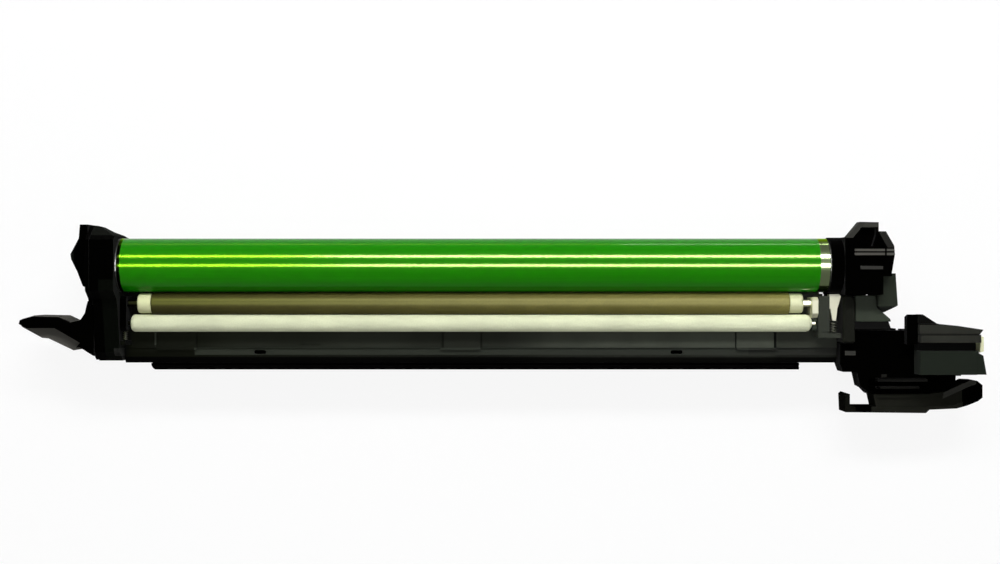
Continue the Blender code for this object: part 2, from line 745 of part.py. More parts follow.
def front_clip():
    """The dark clip below the front bearing that holds the cleaning roller's shaft."""
    start = CLEANER_FRONT_END + CLEANER_NOSE + SEAT_GAP
    end = FRONT_FLANGE + FLANGE_WIDTH
    top = FLANGE_LOW_Y - SEAT_GAP
    mouth = 0.8 * CLEANER_SHAFT_RADIUS
    outline = [
        (top, SLIDER_FLOOR),
        (top, DRUM_AXIS_HEIGHT + 2.4 * MM),
        (CLEANER_Y + 1.0 * MM, DRUM_AXIS_HEIGHT + 3.0 * MM),
        (CLIP_LOW_Y + 0.8 * MM, DRUM_AXIS_HEIGHT + 3.0 * MM),
        (CLIP_LOW_Y, DRUM_AXIS_HEIGHT + 1.8 * MM),
        (CLIP_LOW_Y, BEAM_HEIGHT + SEAT_GAP),
        (BEAM_Y + 2 * SEAT_GAP + ROLLER_LIFT, BEAM_HEIGHT + SEAT_GAP),
        (BEAM_Y + 2 * SEAT_GAP + ROLLER_LIFT, SLIDER_FLOOR),
    ][::-1]
    clip = part("front_cleaner_clip", slab_yz([outline], start, end), "cover_grey")
    hole = cylinder(
        CLEANER_SHAFT_RADIUS + RUN_GAP, start - MM, end + MM, (CLEANER_Y, DRUM_AXIS_HEIGHT), segments=24
    )
    cut(clip, hole, "shaft_hole")
    slot = box(
        (start - MM, CLEANER_Y - mouth, DRUM_AXIS_HEIGHT),
        (end + MM, CLEANER_Y + mouth, DRUM_AXIS_HEIGHT + 4.0 * MM),
    )
    cut(clip, slot, "mouth")
    return clip


def rear_slider():
    """The dark bearing block at the rear end, with bores for both rollers' shafts."""
    outline = [
        (BLOCK_TOP_Y, SLIDER_FLOOR),
        (BLOCK_TOP_Y, BLOCK_TOP_Z - 1.6 * MM),
        (BLOCK_TOP_Y - 1.6 * MM, BLOCK_TOP_Z),
        (CLIP_LOW_Y + 1.6 * MM, BLOCK_TOP_Z),
        (CLIP_LOW_Y, BLOCK_TOP_Z - 1.6 * MM),
        (CLIP_LOW_Y, BEAM_HEIGHT + SEAT_GAP),
        (BEAM_Y + 2 * SEAT_GAP + ROLLER_LIFT, BEAM_HEIGHT + SEAT_GAP),
        (BEAM_Y + 2 * SEAT_GAP + ROLLER_LIFT, SLIDER_FLOOR),
    ][::-1]
    charge_bore = circle(STUB_RADIUS + RUN_GAP, (CHARGE_Y, DRUM_AXIS_HEIGHT), 28)
    cleaner_bore = circle(CLEANER_SHAFT_RADIUS + RUN_GAP, (CLEANER_Y, DRUM_AXIS_HEIGHT), 24)
    mesh = slab_yz([outline, charge_bore, cleaner_bore], BLOCK_START, REAR_BLOCK)
    return part("rear_bearing_slider", mesh, "housing_black")


def roller_springs():
    """The springs that push both bearing sliders towards the drum."""
    coil_spring(
        "front_bearing_spring",
        "y",
        SEAT_Y + SEAT_GAP,
        WEDGE_LOW_Y - SEAT_GAP,
        (DRUM_AXIS_HEIGHT, WEDGE_X),
        SPRING_RADIUS,
    )
    coil_spring(
        "rear_bearing_spring",
        "y",
        LUG_Y + SEAT_GAP,
        CLIP_LOW_Y - SEAT_GAP,
        (DRUM_AXIS_HEIGHT - 0.6 * MM, (BLOCK_START + REAR_BLOCK) / 2),
        1.2 * MM,
        0.25 * MM,
        4,
    )


# Casing
CASING_START = REAR_WALL + SEAT_GAP
CASING_END = FRONT_WALL - SEAT_GAP
BEAM_END = FRONT + 7.6 * MM
LEDGE_Y = -46.6 * MM
LEDGE_STEP = 1.2 * MM
PAD_WIDTH = 22.4 * MM
PAD_HEIGHT = 0.9 * MM
PAD_PLACES = [REAR + 29.2 * MM, -7.7 * MM, FRONT - 37.9 * MM]
SLOT_PLACES = [REAR + 76.1 * MM, FRONT - 82.7 * MM]
SLOT_LENGTH = 7.0 * MM
SLOT_WIDTH = 2.2 * MM
SLOT_Y = -49.0 * MM
SCREW_PLACES = [REAR + 47.2 * MM, 0.0, FRONT - 47.2 * MM]
SLIT_PLACE = REAR + 104.7 * MM
SLIT_LENGTH = 11.0 * MM
SCREW_RADIUS = 1.5 * MM
SCREW_HEAD_RADIUS = 2.8 * MM


def roller_section(near_y):
    """The thin wall under the rollers and round the beam, open at the back."""
    return [
        (near_y, ROLLER_FLOOR_HEIGHT),
        (BEAM_Y, ROLLER_FLOOR_HEIGHT),
        (BEAM_Y, BEAM_HEIGHT),
        (LEDGE_Y, BEAM_HEIGHT),
        (LEDGE_Y, BEAM_HEIGHT - LEDGE_STEP),
        (BEAM_EDGE_Y, BEAM_HEIGHT - LEDGE_STEP),
        (CASING_LOW_Y, BEAM_HEIGHT - LEDGE_STEP - BEAM_CHAMFER),
        (CASING_LOW_Y, 0.0),
        (CASING_LOW_Y + WALL, 0.0),
        (CASING_LOW_Y + WALL, BEAM_HEIGHT - LEDGE_STEP - BEAM_CHAMFER - WALL / 2),
        (BEAM_EDGE_Y + WALL / 2, BEAM_HEIGHT - LEDGE_STEP - WALL),
        (BEAM_Y - WALL, BEAM_HEIGHT - LEDGE_STEP - WALL),
        (BEAM_Y - WALL, ROLLER_FLOOR_HEIGHT - WALL),
        (near_y, ROLLER_FLOOR_HEIGHT - WALL),
    ]


def casing_section():
    """The casing's section: waste trough under the drum, partition, roller floor and beam."""
    rollers = roller_section(ROLLER_WALL_Y - WALL)
    return [
        (CASING_TOP_Y, 0.0),
        (CASING_TOP_Y, CASING_TOP_HEIGHT),
        (CASING_TOP_Y - WALL, CASING_TOP_HEIGHT),
        (CASING_TOP_Y - WALL, WALL),
        (PARTITION_Y, WALL),
        (PARTITION_Y, BLADE_SEAT_HEIGHT),
        (ROLLER_WALL_Y, BLADE_SEAT_HEIGHT),
        (ROLLER_WALL_Y, ROLLER_FLOOR_HEIGHT),
        *rollers[1:-1],
        (ROLLER_WALL_Y - WALL, ROLLER_FLOOR_HEIGHT - WALL),
        (ROLLER_WALL_Y - WALL, BLADE_SEAT_HEIGHT - WALL),
        (PARTITION_Y - WALL, BLADE_SEAT_HEIGHT - WALL),
        (PARTITION_Y - WALL, 0.0),
    ]


def main_frame():
    """The long black moulding that carries everything else."""
    frame = part("main_frame", slab_yz([casing_section()], CASING_START, CASING_END), "casing_black")
    extension = slab_yz([roller_section(ROLLER_WALL_Y - WALL)], CASING_END - 2.0 * MM, BEAM_END)
    join(frame, extension, "beam_end")
    ribs = []
    spacing = (CASING_END - CASING_START) / (RIB_COUNT - 1)
    for i in range(RIB_COUNT):
        middle = CASING_START + i * spacing
        middle = min(max(middle, CASING_START + RIB_THICKNESS), CASING_END - RIB_THICKNESS)
        outline = [
            (PARTITION_Y - WALL / 2, 0.0),
            (PARTITION_Y - WALL / 2, BLADE_SEAT_HEIGHT - WALL / 2),
            (ROLLER_WALL_Y - WALL / 2, BLADE_SEAT_HEIGHT - WALL / 2),
            (ROLLER_WALL_Y - WALL / 2, ROLLER_FLOOR_HEIGHT - WALL / 2),
            (BEAM_Y - WALL, ROLLER_FLOOR_HEIGHT - WALL / 2),
            (CASING_LOW_Y + WALL / 2, ROLLER_FLOOR_HEIGHT - WALL - BEAM_CHAMFER),
            (CASING_LOW_Y + WALL / 2, 0.0),
        ][::-1]
        ribs.append(slab_yz([outline], middle - RIB_THICKNESS / 2, middle + RIB_THICKNESS / 2))
    join(frame, merged("ribs", ribs), "ribs")

    pads = [
        box(
            (middle - PAD_WIDTH / 2, LEDGE_Y - MM, BEAM_HEIGHT - WALL),
            (middle + PAD_WIDTH / 2, BEAM_Y - 1.4 * MM, BEAM_HEIGHT + PAD_HEIGHT),
        )
        for middle in PAD_PLACES
    ]
    join(frame, merged("pads", pads), "pads")

    inside = ROLLER_FLOOR_HEIGHT - WALL / 2
    cheek_top = DRUM_AXIS_HEIGHT + 5.4 * MM
    cheek = box((CHEEK_START, BEAM_Y - MM, inside), (CHEEK_END, ROLLER_WALL_Y - 1.2 * MM, cheek_top))
    seat = slab_xy(
        [
            [
                (CHEEK_START, SEAT_Y),
                (CHEEK_START, BEAM_Y - 0.4 * MM),
                (CHEEK_END, BEAM_Y - 0.4 * MM),
                (CHEEK_END, SEAT_Y),
                (BEAM_END, SEAT_Y),
                (BEAM_END, SEAT_Y - 2.6 * MM),
                (CHEEK_START, SEAT_Y - 2.6 * MM),
            ][::-1]
        ],
        inside,
        DRUM_AXIS_HEIGHT + 4.8 * MM,
    )
    lug = slab_xz(
        [
            [
                (CASING_START, inside),
                (CASING_START, DRUM_AXIS_HEIGHT + 3.0 * MM),
                (REAR_BLOCK - 1.2 * MM, DRUM_AXIS_HEIGHT + 3.0 * MM),
                (REAR_BLOCK + 1.6 * MM, inside),
            ][::-1]
        ],
        LUG_Y - LUG_THICKNESS,
        LUG_Y,
    )
    join(frame, merged("spring_seats", [cheek, lug]), "cheek")
    join(frame, seat, "seat")

    neck = NECK_HALF + 2 * SEAT_GAP
    neck_low = CHARGE_Y - 3.0 * MM - ROLLER_LIFT - 2 * SEAT_GAP
    cheek_slot = box(
        (CHEEK_START - MM, neck_low, DRUM_AXIS_HEIGHT - neck),
        (CHEEK_END + MM, CHARGE_Y + 3.0 * MM + SEAT_GAP, DRUM_AXIS_HEIGHT + NECK_HALF + SEAT_GAP),
    )
    slots = []
    for middle in SLOT_PLACES:
        half = (SLOT_LENGTH - SLOT_WIDTH) / 2
        outline = [
            (
                middle + side * half + SLOT_WIDTH / 2 * cos(radians(a)),
                SLOT_Y + SLOT_WIDTH / 2 * sin(radians(a)),
            )
            for side, first in ((1, -90), (-1, 90))
            for a in range(first, first + 181, 45)
        ]
        slots.append(slab_xy([outline], ROLLER_FLOOR_HEIGHT - WALL, BEAM_HEIGHT + MM))
    slit = box(
        (SLIT_PLACE - SLIT_LENGTH / 2, LEDGE_Y + 1.4 * MM, BEAM_HEIGHT - 0.8 * MM),
        (SLIT_PLACE + SLIT_LENGTH / 2, LEDGE_Y + 2.4 * MM, BEAM_HEIGHT + MM),
    )
    pilots = [
        cylinder(
            SCREW_RADIUS, PARTITION_Y - WALL - MM, PARTITION_Y + MM, (x, BLADE_SCREW_Z), axis="y", segments=12
        )
        for x in SCREW_PLACES
    ]
    cut(frame, merged("openings", [cheek_slot, slit, *slots, *pilots]), "openings")
    return frame


# Guide rail along the lower edge
RAIL_REAR = REAR + 13.8 * MM
RAIL_FRONT = FRONT - 12.7 * MM
RAIL_WIDTH = 3.8 * MM
RAIL_TOP = 34.5 * MM
RAIL_DEPTH = 14.0 * MM


def guide_rail():
    """The rail below the beam that slides in the machine, with a groove along its face."""
    near = CASING_LOW_Y - SEAT_GAP
    far = near - RAIL_WIDTH
    outline = [
        (near, RAIL_TOP - RAIL_DEPTH),
        (near, RAIL_TOP),
        (near - 0.4 * RAIL_WIDTH, RAIL_TOP),
        (near - 0.4 * RAIL_WIDTH, RAIL_TOP - 0.8 * MM),
        (near - 0.6 * RAIL_WIDTH, RAIL_TOP - 0.8 * MM),
        (near - 0.6 * RAIL_WIDTH, RAIL_TOP),
        (far + 0.6 * MM, RAIL_TOP),
        (far, RAIL_TOP - 0.6 * MM),
        (far, RAIL_TOP - RAIL_DEPTH),
    ]
    rail = part("guide_rail", slab_yz([outline], RAIL_REAR, RAIL_FRONT), "casing_black")
    lead = 3.0 * MM
    wedge = slab_xy(
        [
            [
                (RAIL_REAR - MM, near - MM),
                (RAIL_REAR + lead, far - MM),
                (RAIL_REAR - MM, far - MM),
            ][::-1]
        ],
        RAIL_TOP - RAIL_DEPTH - MM,
        RAIL_TOP + MM,
    )
    cut(rail, wedge, "lead_in")
    return rail


# Cleaning blade
BLADE_FOOT = (PARTITION_Y + 2.8 * MM, BLADE_SEAT_HEIGHT - 0.5 * MM)
BLADE_ANGLE = radians(74)
BLADE_THICKNESS = 2.0 * MM
BRACKET_THICKNESS = 1.2 * MM
BRACKET_FOOT_Z = BLADE_SEAT_HEIGHT - 9.0 * MM
BLADE_SCREW_Z = BLADE_SEAT_HEIGHT - 5.4 * MM
BLADE_REAR = REAR + 5.0 * MM
BLADE_FRONT = FRONT - 5.0 * MM


def blade_point(along, across):
    """A point beside the blade: along it from its foot, and across it away from the brush."""
    return (
        BLADE_FOOT[0] + along * cos(BLADE_ANGLE) - across * sin(BLADE_ANGLE),
        BLADE_FOOT[1] + along * sin(BLADE_ANGLE) + across * cos(BLADE_ANGLE),
    )


def blade_length():
    """The length at which the blade's edge just clears the drum."""
    reach = DRUM_RADIUS + SEAT_GAP
    dy = BLADE_FOOT[0]
    dz = BLADE_FOOT[1] - DRUM_AXIS_HEIGHT
    half = dy * cos(BLADE_ANGLE) + dz * sin(BLADE_ANGLE)
    return -half - sqrt(half**2 - (dy**2 + dz**2 - reach**2))


def cleaning_blade():
    """The urethane blade on its bent steel bracket, held by screws to the partition."""
    length = blade_length()
    rubber = [
        blade_point(0, 0),
        blade_point(length, 0),
        blade_point(length, BLADE_THICKNESS),
        blade_point(0, BLADE_THICKNESS),
    ]
    part("cleaning_blade", slab_yz([rubber], BLADE_REAR, BLADE_FRONT), "blade_urethane")
    near = BLADE_THICKNESS + SEAT_GAP
    far = near + BRACKET_THICKNESS
    face = PARTITION_Y + SEAT_GAP
    bracket = [
        (face, BRACKET_FOOT_Z),
        (face + BRACKET_THICKNESS, BRACKET_FOOT_Z),
        (face + BRACKET_THICKNESS, BLADE_FOOT[1] - 0.6 * MM),
        blade_point(0.3 * MM, near),
        blade_point(0.55 * length, near),
        blade_point(0.55 * length, far),
        blade_point(0.3 * MM, far),
        (face, BLADE_SEAT_HEIGHT - 0.3 * MM),
    ]
    plate = part("blade_bracket", slab_yz([bracket], BLADE_REAR, BLADE_FRONT), "sheet_steel")
    holes = [
        cylinder(SCREW_RADIUS + 0.2 * MM, face - MM, face + 3 * MM, (x, BLADE_SCREW_Z), axis="y", segments=16)
        for x in SCREW_PLACES
    ]
    cut(plate, merged("holes", holes), "holes")
    for i, x in enumerate(SCREW_PLACES):
        head = face + BRACKET_THICKNESS + SEAT_GAP
        screw = part(
            f"blade_screw_{i + 1}",
            cylinder(SCREW_HEAD_RADIUS, head, head + 1.6 * MM, (x, BLADE_SCREW_Z), axis="y", segments=16),
            "screw_steel",
        )
        thread = cylinder(
            SCREW_RADIUS - 0.2 * MM,
            PARTITION_Y - WALL + 0.4 * MM,
            head + 0.4 * MM,
            (x, BLADE_SCREW_Z),
            axis="y",
            segments=12,
        )
        join(screw, thread, "thread")


# Lubricant and waste
BRUSH_SHAFT_RADIUS = BRUSH_SHAFT_DIAMETER / 2
BAR_Y = 3.4 * MM
BAR_WIDTH = 6.0 * MM
BAR_LOW = 8.0 * MM
HOLDER_WALL = 0.6 * MM
HOLDER_LOW = 7.0 * MM
HOLDER_HEIGHT = 6.0 * MM
BAR_REAR = REAR + 12.0 * MM
BAR_FRONT = FRONT - 12.0 * MM
BAR_SPRINGS = [REAR + 77.2 * MM, FRONT - 77.2 * MM]
AUGER_SHAFT_RADIUS = AUGER_SHAFT_DIAMETER / 2
OUTLET_END = FRONT + 36.0 * MM
AUGER_STEPS = 8


def lubricant_brush(spindle):
    """The fibre brush that carries lubricant from the bar to the drum, and its driven gear."""
    start = REAR + 9.0 * MM
    roller_sleeve(
        "lubricant_brush",
        start,
        -start,
        BRUSH_RADIUS,
        BRUSH_SHAFT_RADIUS + 0.1 * MM,
        "brush_fibre",
        spindle,
        0.6 * MM,
        36,
    )
    shaft = turned(
        "brush_shaft",
        [
            (BRUSH_GEAR_START - GEAR_WIDTH - 0.8 * MM, 0.0),
            (BRUSH_GEAR_START - GEAR_WIDTH - 0.8 * MM, BRUSH_SHAFT_RADIUS),
            (FRONT_WALL + 1.6 * MM, BRUSH_SHAFT_RADIUS),
            (FRONT_WALL + 1.6 * MM, 0.0),
        ],
        "shaft_steel",
        spindle,
        segments=24,
    )
    smooth(shaft)


def driven_gear(name, teeth, phase, centre, start, shaft_radius, spindle):
    """A spur gear with a bore, parented to its spindle."""
    outline = gear_outline(teeth, phase, centre)
    bore = circle(shaft_radius + 0.1 * MM, centre, 20)
    gear = part(name, slab_yz([outline, bore], start - GEAR_WIDTH, start), "gear_natural")
    gear.parent = spindle
    gear.matrix_parent_inverse = Matrix.Translation((0.0, -centre[0], -centre[1]))
    return gear


def lubricant_bar():
    """The solid lubricant in its steel channel, pushed to the brush by two springs."""
    top = BRUSH_Z - BRUSH_RADIUS - SEAT_GAP
    bar = box((BAR_REAR, BAR_Y - BAR_WIDTH / 2, BAR_LOW), (BAR_FRONT, BAR_Y + BAR_WIDTH / 2, top))
    part("lubricant_bar", bar, "lubricant_wax")
    inner = BAR_WIDTH / 2 + SEAT_GAP / 2
    outer = inner + HOLDER_WALL
    floor = BAR_LOW - SEAT_GAP
    channel = [
        (BAR_Y - outer, HOLDER_LOW),
        (BAR_Y + outer, HOLDER_LOW),
        (BAR_Y + outer, HOLDER_LOW + HOLDER_HEIGHT),
        (BAR_Y + inner, HOLDER_LOW + HOLDER_HEIGHT),
        (BAR_Y + inner, floor),
        (BAR_Y - inner, floor),
        (BAR_Y - inner, HOLDER_LOW + HOLDER_HEIGHT),
        (BAR_Y - outer, HOLDER_LOW + HOLDER_HEIGHT),
    ]
    part("bar_holder", slab_yz([channel], BAR_REAR - 2 * MM, BAR_FRONT + 2 * MM), "sheet_steel")
    for name, x in zip(("rear_bar_spring", "front_bar_spring"), BAR_SPRINGS):
        coil_spring(name, "z", WALL + SEAT_GAP, HOLDER_LOW - SEAT_GAP, (x, BAR_Y), 2.2 * MM, 0.3 * MM, 4)


def waste_auger(spindle):
    """The screw that carries waste toner along the trough and out at the front."""
    start = REAR + 4.0 * MM
    length = FRONT - 4.0 * MM - start
    steps = round(length / AUGER_PITCH * AUGER_STEPS)
    radius = AUGER_DIAMETER / 2
    half = pi * AUGER_BLADE / AUGER_PITCH
    root = 1.9 * half
    ring = [(AUGER_SHAFT_RADIUS, -root), (radius, -half), (radius, half), (AUGER_SHAFT_RADIUS, root)]
    ring += [(AUGER_SHAFT_RADIUS, 2 * pi * i / 6) for i in range(1, 6)]
    bm = bmesh.new()
    corners = [
        bm.verts.new((start, AUGER_Y + r * cos(a), AUGER_Z + r * sin(a)))
        for r, a in ring
    ]
    face = bm.faces.new(corners)
    bmesh.ops.spin(
        bm,
        geom=[face, *face.edges, *face.verts],
        cent=(0.0, AUGER_Y, AUGER_Z),
        axis=(1.0, 0.0, 0.0),
        dvec=(length / steps, 0.0, 0.0),
        angle=2 * pi * length / AUGER_PITCH,
        steps=steps,
        use_duplicate=False,
    )
    open_edges = [edge for edge in bm.edges if edge.is_boundary]
    if open_edges:
        bmesh.ops.holes_fill(bm, edges=open_edges, sides=0)
    bmesh.ops.recalc_face_normals(bm, faces=bm.faces)
    mesh = bpy.data.meshes.new("waste_auger")
    bm.to_mesh(mesh)
    bm.free()
    auger = part("waste_auger", mesh, "auger_plastic")
    centre = (AUGER_Y, AUGER_Z)
    tail = cylinder(
        AUGER_SHAFT_RADIUS - 0.2 * MM, IDLER_GEAR_START - GEAR_WIDTH - MM, start + MM, centre, segments=12
    )
    nose = cylinder(AUGER_SHAFT_RADIUS - 0.2 * MM, -start - MM, OUTLET_END - 8.0 * MM, centre, segments=12)
    join(auger, merged("journals", [tail, nose]), "journals")
    auger.parent = spindle
    auger.matrix_parent_inverse = Matrix.Translation((0.0, -AUGER_Y, -AUGER_Z))
    return auger


# Seals of the trough
FILM_THICKNESS = 0.3 * MM
SEAL_HEIGHT = 2.6 * MM


def seals():
    """The felt strip on the trough's edge and the thin film that reaches from it to the drum."""
    low = CASING_TOP_HEIGHT + SEAT_GAP
    inner = CASING_TOP_Y - WALL
    outer = CASING_TOP_Y - FILM_THICKNESS - SEAT_GAP
    felt = box((BLADE_REAR, inner, low), (BLADE_FRONT, outer, low + SEAL_HEIGHT))
    part("trough_seal", felt, "seal_felt")
    tip_y = 0.64 * DRUM_RADIUS
    tip_z = DRUM_AXIS_HEIGHT - sqrt((DRUM_RADIUS + 0.5 * MM) ** 2 - tip_y**2)
    film = [
        (CASING_TOP_Y - FILM_THICKNESS, low),
        (CASING_TOP_Y, low),
        (CASING_TOP_Y, low + SEAL_HEIGHT),
        (tip_y + FILM_THICKNESS, tip_z),
        (tip_y, tip_z),
        (CASING_TOP_Y - FILM_THICKNESS, low + SEAL_HEIGHT),
    ]
    part("entrance_film", slab_yz([film], BLADE_REAR, BLADE_FRONT), "entrance_film")


# Rear end: housing with the gear train, its cover and the locating arm
REAR_LOW_Y = -53.6 * MM
REAR_SPLIT_Y = -21.6 * MM  # lower edge of the gear cover
TUB_END = REAR_WALL - REAR_DEPTH
GEAR_CAVITY = millimetres(
    [(16.2, 57), (10, 62.6), (-10, 62.6), (-16.4, 56), (-19, 36), (-19, 16), (-14.6, 4), (-12, 2.2)]
    + [(0, 2.2), (6, 8), (10.4, 18), (16.2, 36)]
)
COVER_SCREWS = millimetres([(12.4, 13), (9.4, 5.6), (-19.0, 6.4)])
PIN_RADIUS = 2.0 * MM
ARM_TOP = 44.0 * MM
ARM_RIDGE_TOP = 50.0 * MM
ARM_LOW = 24.0 * MM


def rear_side_outline():
    """The rear housing seen along X."""
    high = HOUSING_HEIGHT
    return [
        (CASING_TOP_Y, 0.0),
        (CASING_TOP_Y + 3.5 * MM, 9.0 * MM),
        (16.2 * MM, 24.0 * MM),
        (17.6 * MM, 35.0 * MM),
        (18.6 * MM, 42.0 * MM),
        (22.0 * MM, 48.0 * MM),
        (22.0 * MM, high - 12.0 * MM),
        (14.0 * MM, high),
        (-14.0 * MM, high),
        (-18.6 * MM, high - 7.0 * MM),
        (-24.0 * MM, high - 10.0 * MM),
        (REAR_LOW_Y + 5.0 * MM, BEAM_HEIGHT + 9.0 * MM),
        (REAR_LOW_Y, BEAM_HEIGHT + 2.0 * MM),
        (REAR_LOW_Y, 0.0),
    ][::-1]


def rear_housing():
    """The moulded tub that closes the casing's rear end and holds the gears."""
    housing = part("rear_housing", slab_yz([rear_side_outline()], TUB_END, REAR_WALL), "housing_black")
    plan = [(0.6, -56), (0.6, 16), (3.2, 17.4), (9.4, 21.2), (14.5, 22.5), (14.5, -56)]
    combine(housing, slab_xy([outward(plan, REAR)], -MM, HOUSING_HEIGHT + MM), "plan", "INTERSECT")
    floor = REAR_WALL - HOUSING_WALL
    cavity = slab_yz([GEAR_CAVITY], TUB_END - MM, floor)
    pocket_outline = millimetres([(-24.4, 4), (-49.4, 4), (-49.4, 38), (-45, 45), (-24.4, 50)])
    pocket = slab_yz([pocket_outline], TUB_END - MM, floor)
    cut(housing, merged("hollows", [cavity, pocket]), "hollows")
    through = REAR_WALL + MM
    inside = floor - MM
    corner = box((REAR - 2.4 * MM, 15.3 * MM, -MM), (REAR + MM, 24.0 * MM, HOUSING_HEIGHT - 7.0 * MM))
    cut(housing, corner, "corner")
    bores = [
        cylinder(DRUM_RADIUS + 0.6 * MM, inside, through, (0.0, DRUM_AXIS_HEIGHT), segments=40),
        cylinder(BRUSH_SHAFT_RADIUS + RUN_GAP, inside, through, (BRUSH_Y, BRUSH_Z), segments=20),
        cylinder(AUGER_SHAFT_RADIUS, inside, through, (AUGER_Y, AUGER_Z), segments=20),
        cylinder(PIN_RADIUS + 0.1 * MM, inside, through, (IDLER_Y, IDLER_Z), segments=20),
    ]
    pilots = [
        cylinder(SCREW_RADIUS, TUB_END - MM, TUB_END + 8.0 * MM, place, segments=12) for place in COVER_SCREWS
    ]
    cut(housing, merged("bores", bores + pilots), "bores")
    return housing


def gear_cover():
    """The plate over the gears, with the boss that holds the drum's rear bearing and shields its coupling."""
    edge = [(y, z) for y, z in rear_side_outline() if y > REAR_SPLIT_Y]
    low_corner = [(REAR_SPLIT_Y, 0.0)]
    high_corner = [(REAR_SPLIT_Y, HOUSING_HEIGHT - 8.9 * MM)]
    outline = high_corner + edge + low_corner
    cover = part("gear_cover", slab_yz([outline], COVER_OUTER, COVER_INNER), "housing_black")
    boss = [
        (15.9, -13), (18.6, -11.6), (21.6, -3.7), (25.0, 3.2), (25.4, 6.0), (20.8, 14.8), (20.2, 22.4),
        (15.9, 22.4),
    ]
    boss_low = DRUM_AXIS_HEIGHT - 13.0 * MM
    boss_high = DRUM_AXIS_HEIGHT + 14.0 * MM
    join(cover, slab_xy([outward(boss, REAR)], boss_low, boss_high), "boss")
    seat = JOURNAL_RADIUS + RUN_GAP + BEARING_WALL + SEAT_GAP
    bore = cylinder(seat, REAR - 27.0 * MM, COVER_INNER + MM, (0.0, DRUM_AXIS_HEIGHT), segments=28)
    idler = (IDLER_Y, IDLER_Z)
    pin_hole = cylinder(PIN_RADIUS + 0.1 * MM, COVER_OUTER - MM, COVER_INNER + MM, idler, segments=20)
    holes = [
        cylinder(SCREW_RADIUS + 0.2 * MM, COVER_OUTER - 8.0 * MM, COVER_INNER + MM, place, segments=16)
        for place in COVER_SCREWS
    ]
    cut(cover, merged("holes", [bore, pin_hole, *holes]), "holes")
    return cover


def cover_screws():
    """Pan-head screws through the gear cover into the rear housing."""
    for i, place in enumerate(COVER_SCREWS):
        head = COVER_OUTER - SEAT_GAP
        screw = part(
            f"rear_screw_{i + 1}",
            cylinder(SCREW_HEAD_RADIUS, head - 1.8 * MM, head, place, segments=16),
            "screw_steel",
        )
        thread = cylinder(SCREW_RADIUS - 0.2 * MM, head - MM, TUB_END + 7.0 * MM, place, segments=12)
        join(screw, thread, "thread")


def gear_train(spindles):
    """The brush gear, the idler on its pin and the auger gear."""
    brush = (BRUSH_Y, BRUSH_Z)
    driven_gear(
        "brush_gear",
        BRUSH_TEETH,
        BRUSH_PHASE,
        brush,
        BRUSH_GEAR_START,
        BRUSH_SHAFT_RADIUS,
        spindles["brush"],
    )
    idler = (IDLER_Y, IDLER_Z)
    driven_gear(
        "idler_gear",
        IDLER_TEETH,
        IDLER_PHASE,
        idler,
        IDLER_GEAR_START,
        PIN_RADIUS + 0.1 * MM,
        spindles["idler"],
    )
    auger = (AUGER_Y, AUGER_Z)
    driven_gear(
        "auger_gear",
        AUGER_TEETH,
        AUGER_PHASE,
        auger,
        IDLER_GEAR_START,
        AUGER_SHAFT_RADIUS - 0.2 * MM,
        spindles["auger"],
    )
    pin = cylinder(PIN_RADIUS, COVER_OUTER + 0.2 * MM, REAR_WALL - 0.2 * MM, idler, segments=20)
    part("idler_pin", pin, "shaft_steel")


def locating_arm():
    """The arm that guides the rear end into the machine: a foot on the housing, a tongue and its ridge."""
    foot_inner = TUB_END - SEAT_GAP
    foot_outline = [
        (REAR_SPLIT_Y - SEAT_GAP, 4.0 * MM),
        (REAR_SPLIT_Y - SEAT_GAP, HOUSING_HEIGHT - 13.0 * MM),
        (REAR_LOW_Y + 5.0 * MM, BEAM_HEIGHT + 7.0 * MM),
        (REAR_LOW_Y + 0.4 * MM, BEAM_HEIGHT),
        (REAR_LOW_Y + 0.4 * MM, 4.0 * MM),
    ][::-1]
    arm = part("locating_arm", slab_yz([foot_outline], COVER_OUTER, foot_inner), "housing_black")
    tongue = [
        (15.0, -22.2), (16.5, -22.2), (16.5, -19.4), (18.6, -19.6), (19.4, -22.4), (20.2, -26.2),
        (22.9, -30.2), (28.5, -31.4), (34.9, -28.4),
        (49.7, -28.1), (57.0, -30.2), (57.9, -32.6),
        (57.0, -34.5), (45.5, -40.8), (41.9, -41.1), (27.9, -47.8), (23.1, -46.3), (15.0, -51.4),
    ]
    join(arm, slab_xy([outward(tongue, REAR)], ARM_LOW, ARM_TOP), "tongue")
    ridge = [
        (15.0, -22.8), (16.8, -22.8), (16.8, -19.8), (18.4, -20.0), (19.2, -22.8), (20.0, -26.6),
        (22.7, -30.8), (28.5, -32.0), (35.0, -29.0),
        (49.6, -28.7), (56.4, -30.6), (57.0, -32.8),
        (52.8, -35.1), (37.0, -35.1), (22.7, -43.3), (25.0, -46.0), (23.0, -45.8), (15.0, -50.8),
    ]
    join(arm, slab_xy([outward(ridge, REAR)], ARM_TOP - MM, ARM_RIDGE_TOP), "ridge")
    hollow = [
        (18.0, -31.5), (28.4, -34.6), (36.0, -31.2), (48.8, -31.0), (53.6, -32.8), (43.0, -38.6),
        (28.0, -44.8), (18.0, -46.0),
    ]
    cut(arm, slab_xy([outward(hollow, REAR)], ARM_LOW - MM, ARM_TOP - 2.4 * MM), "hollow")
    return arm


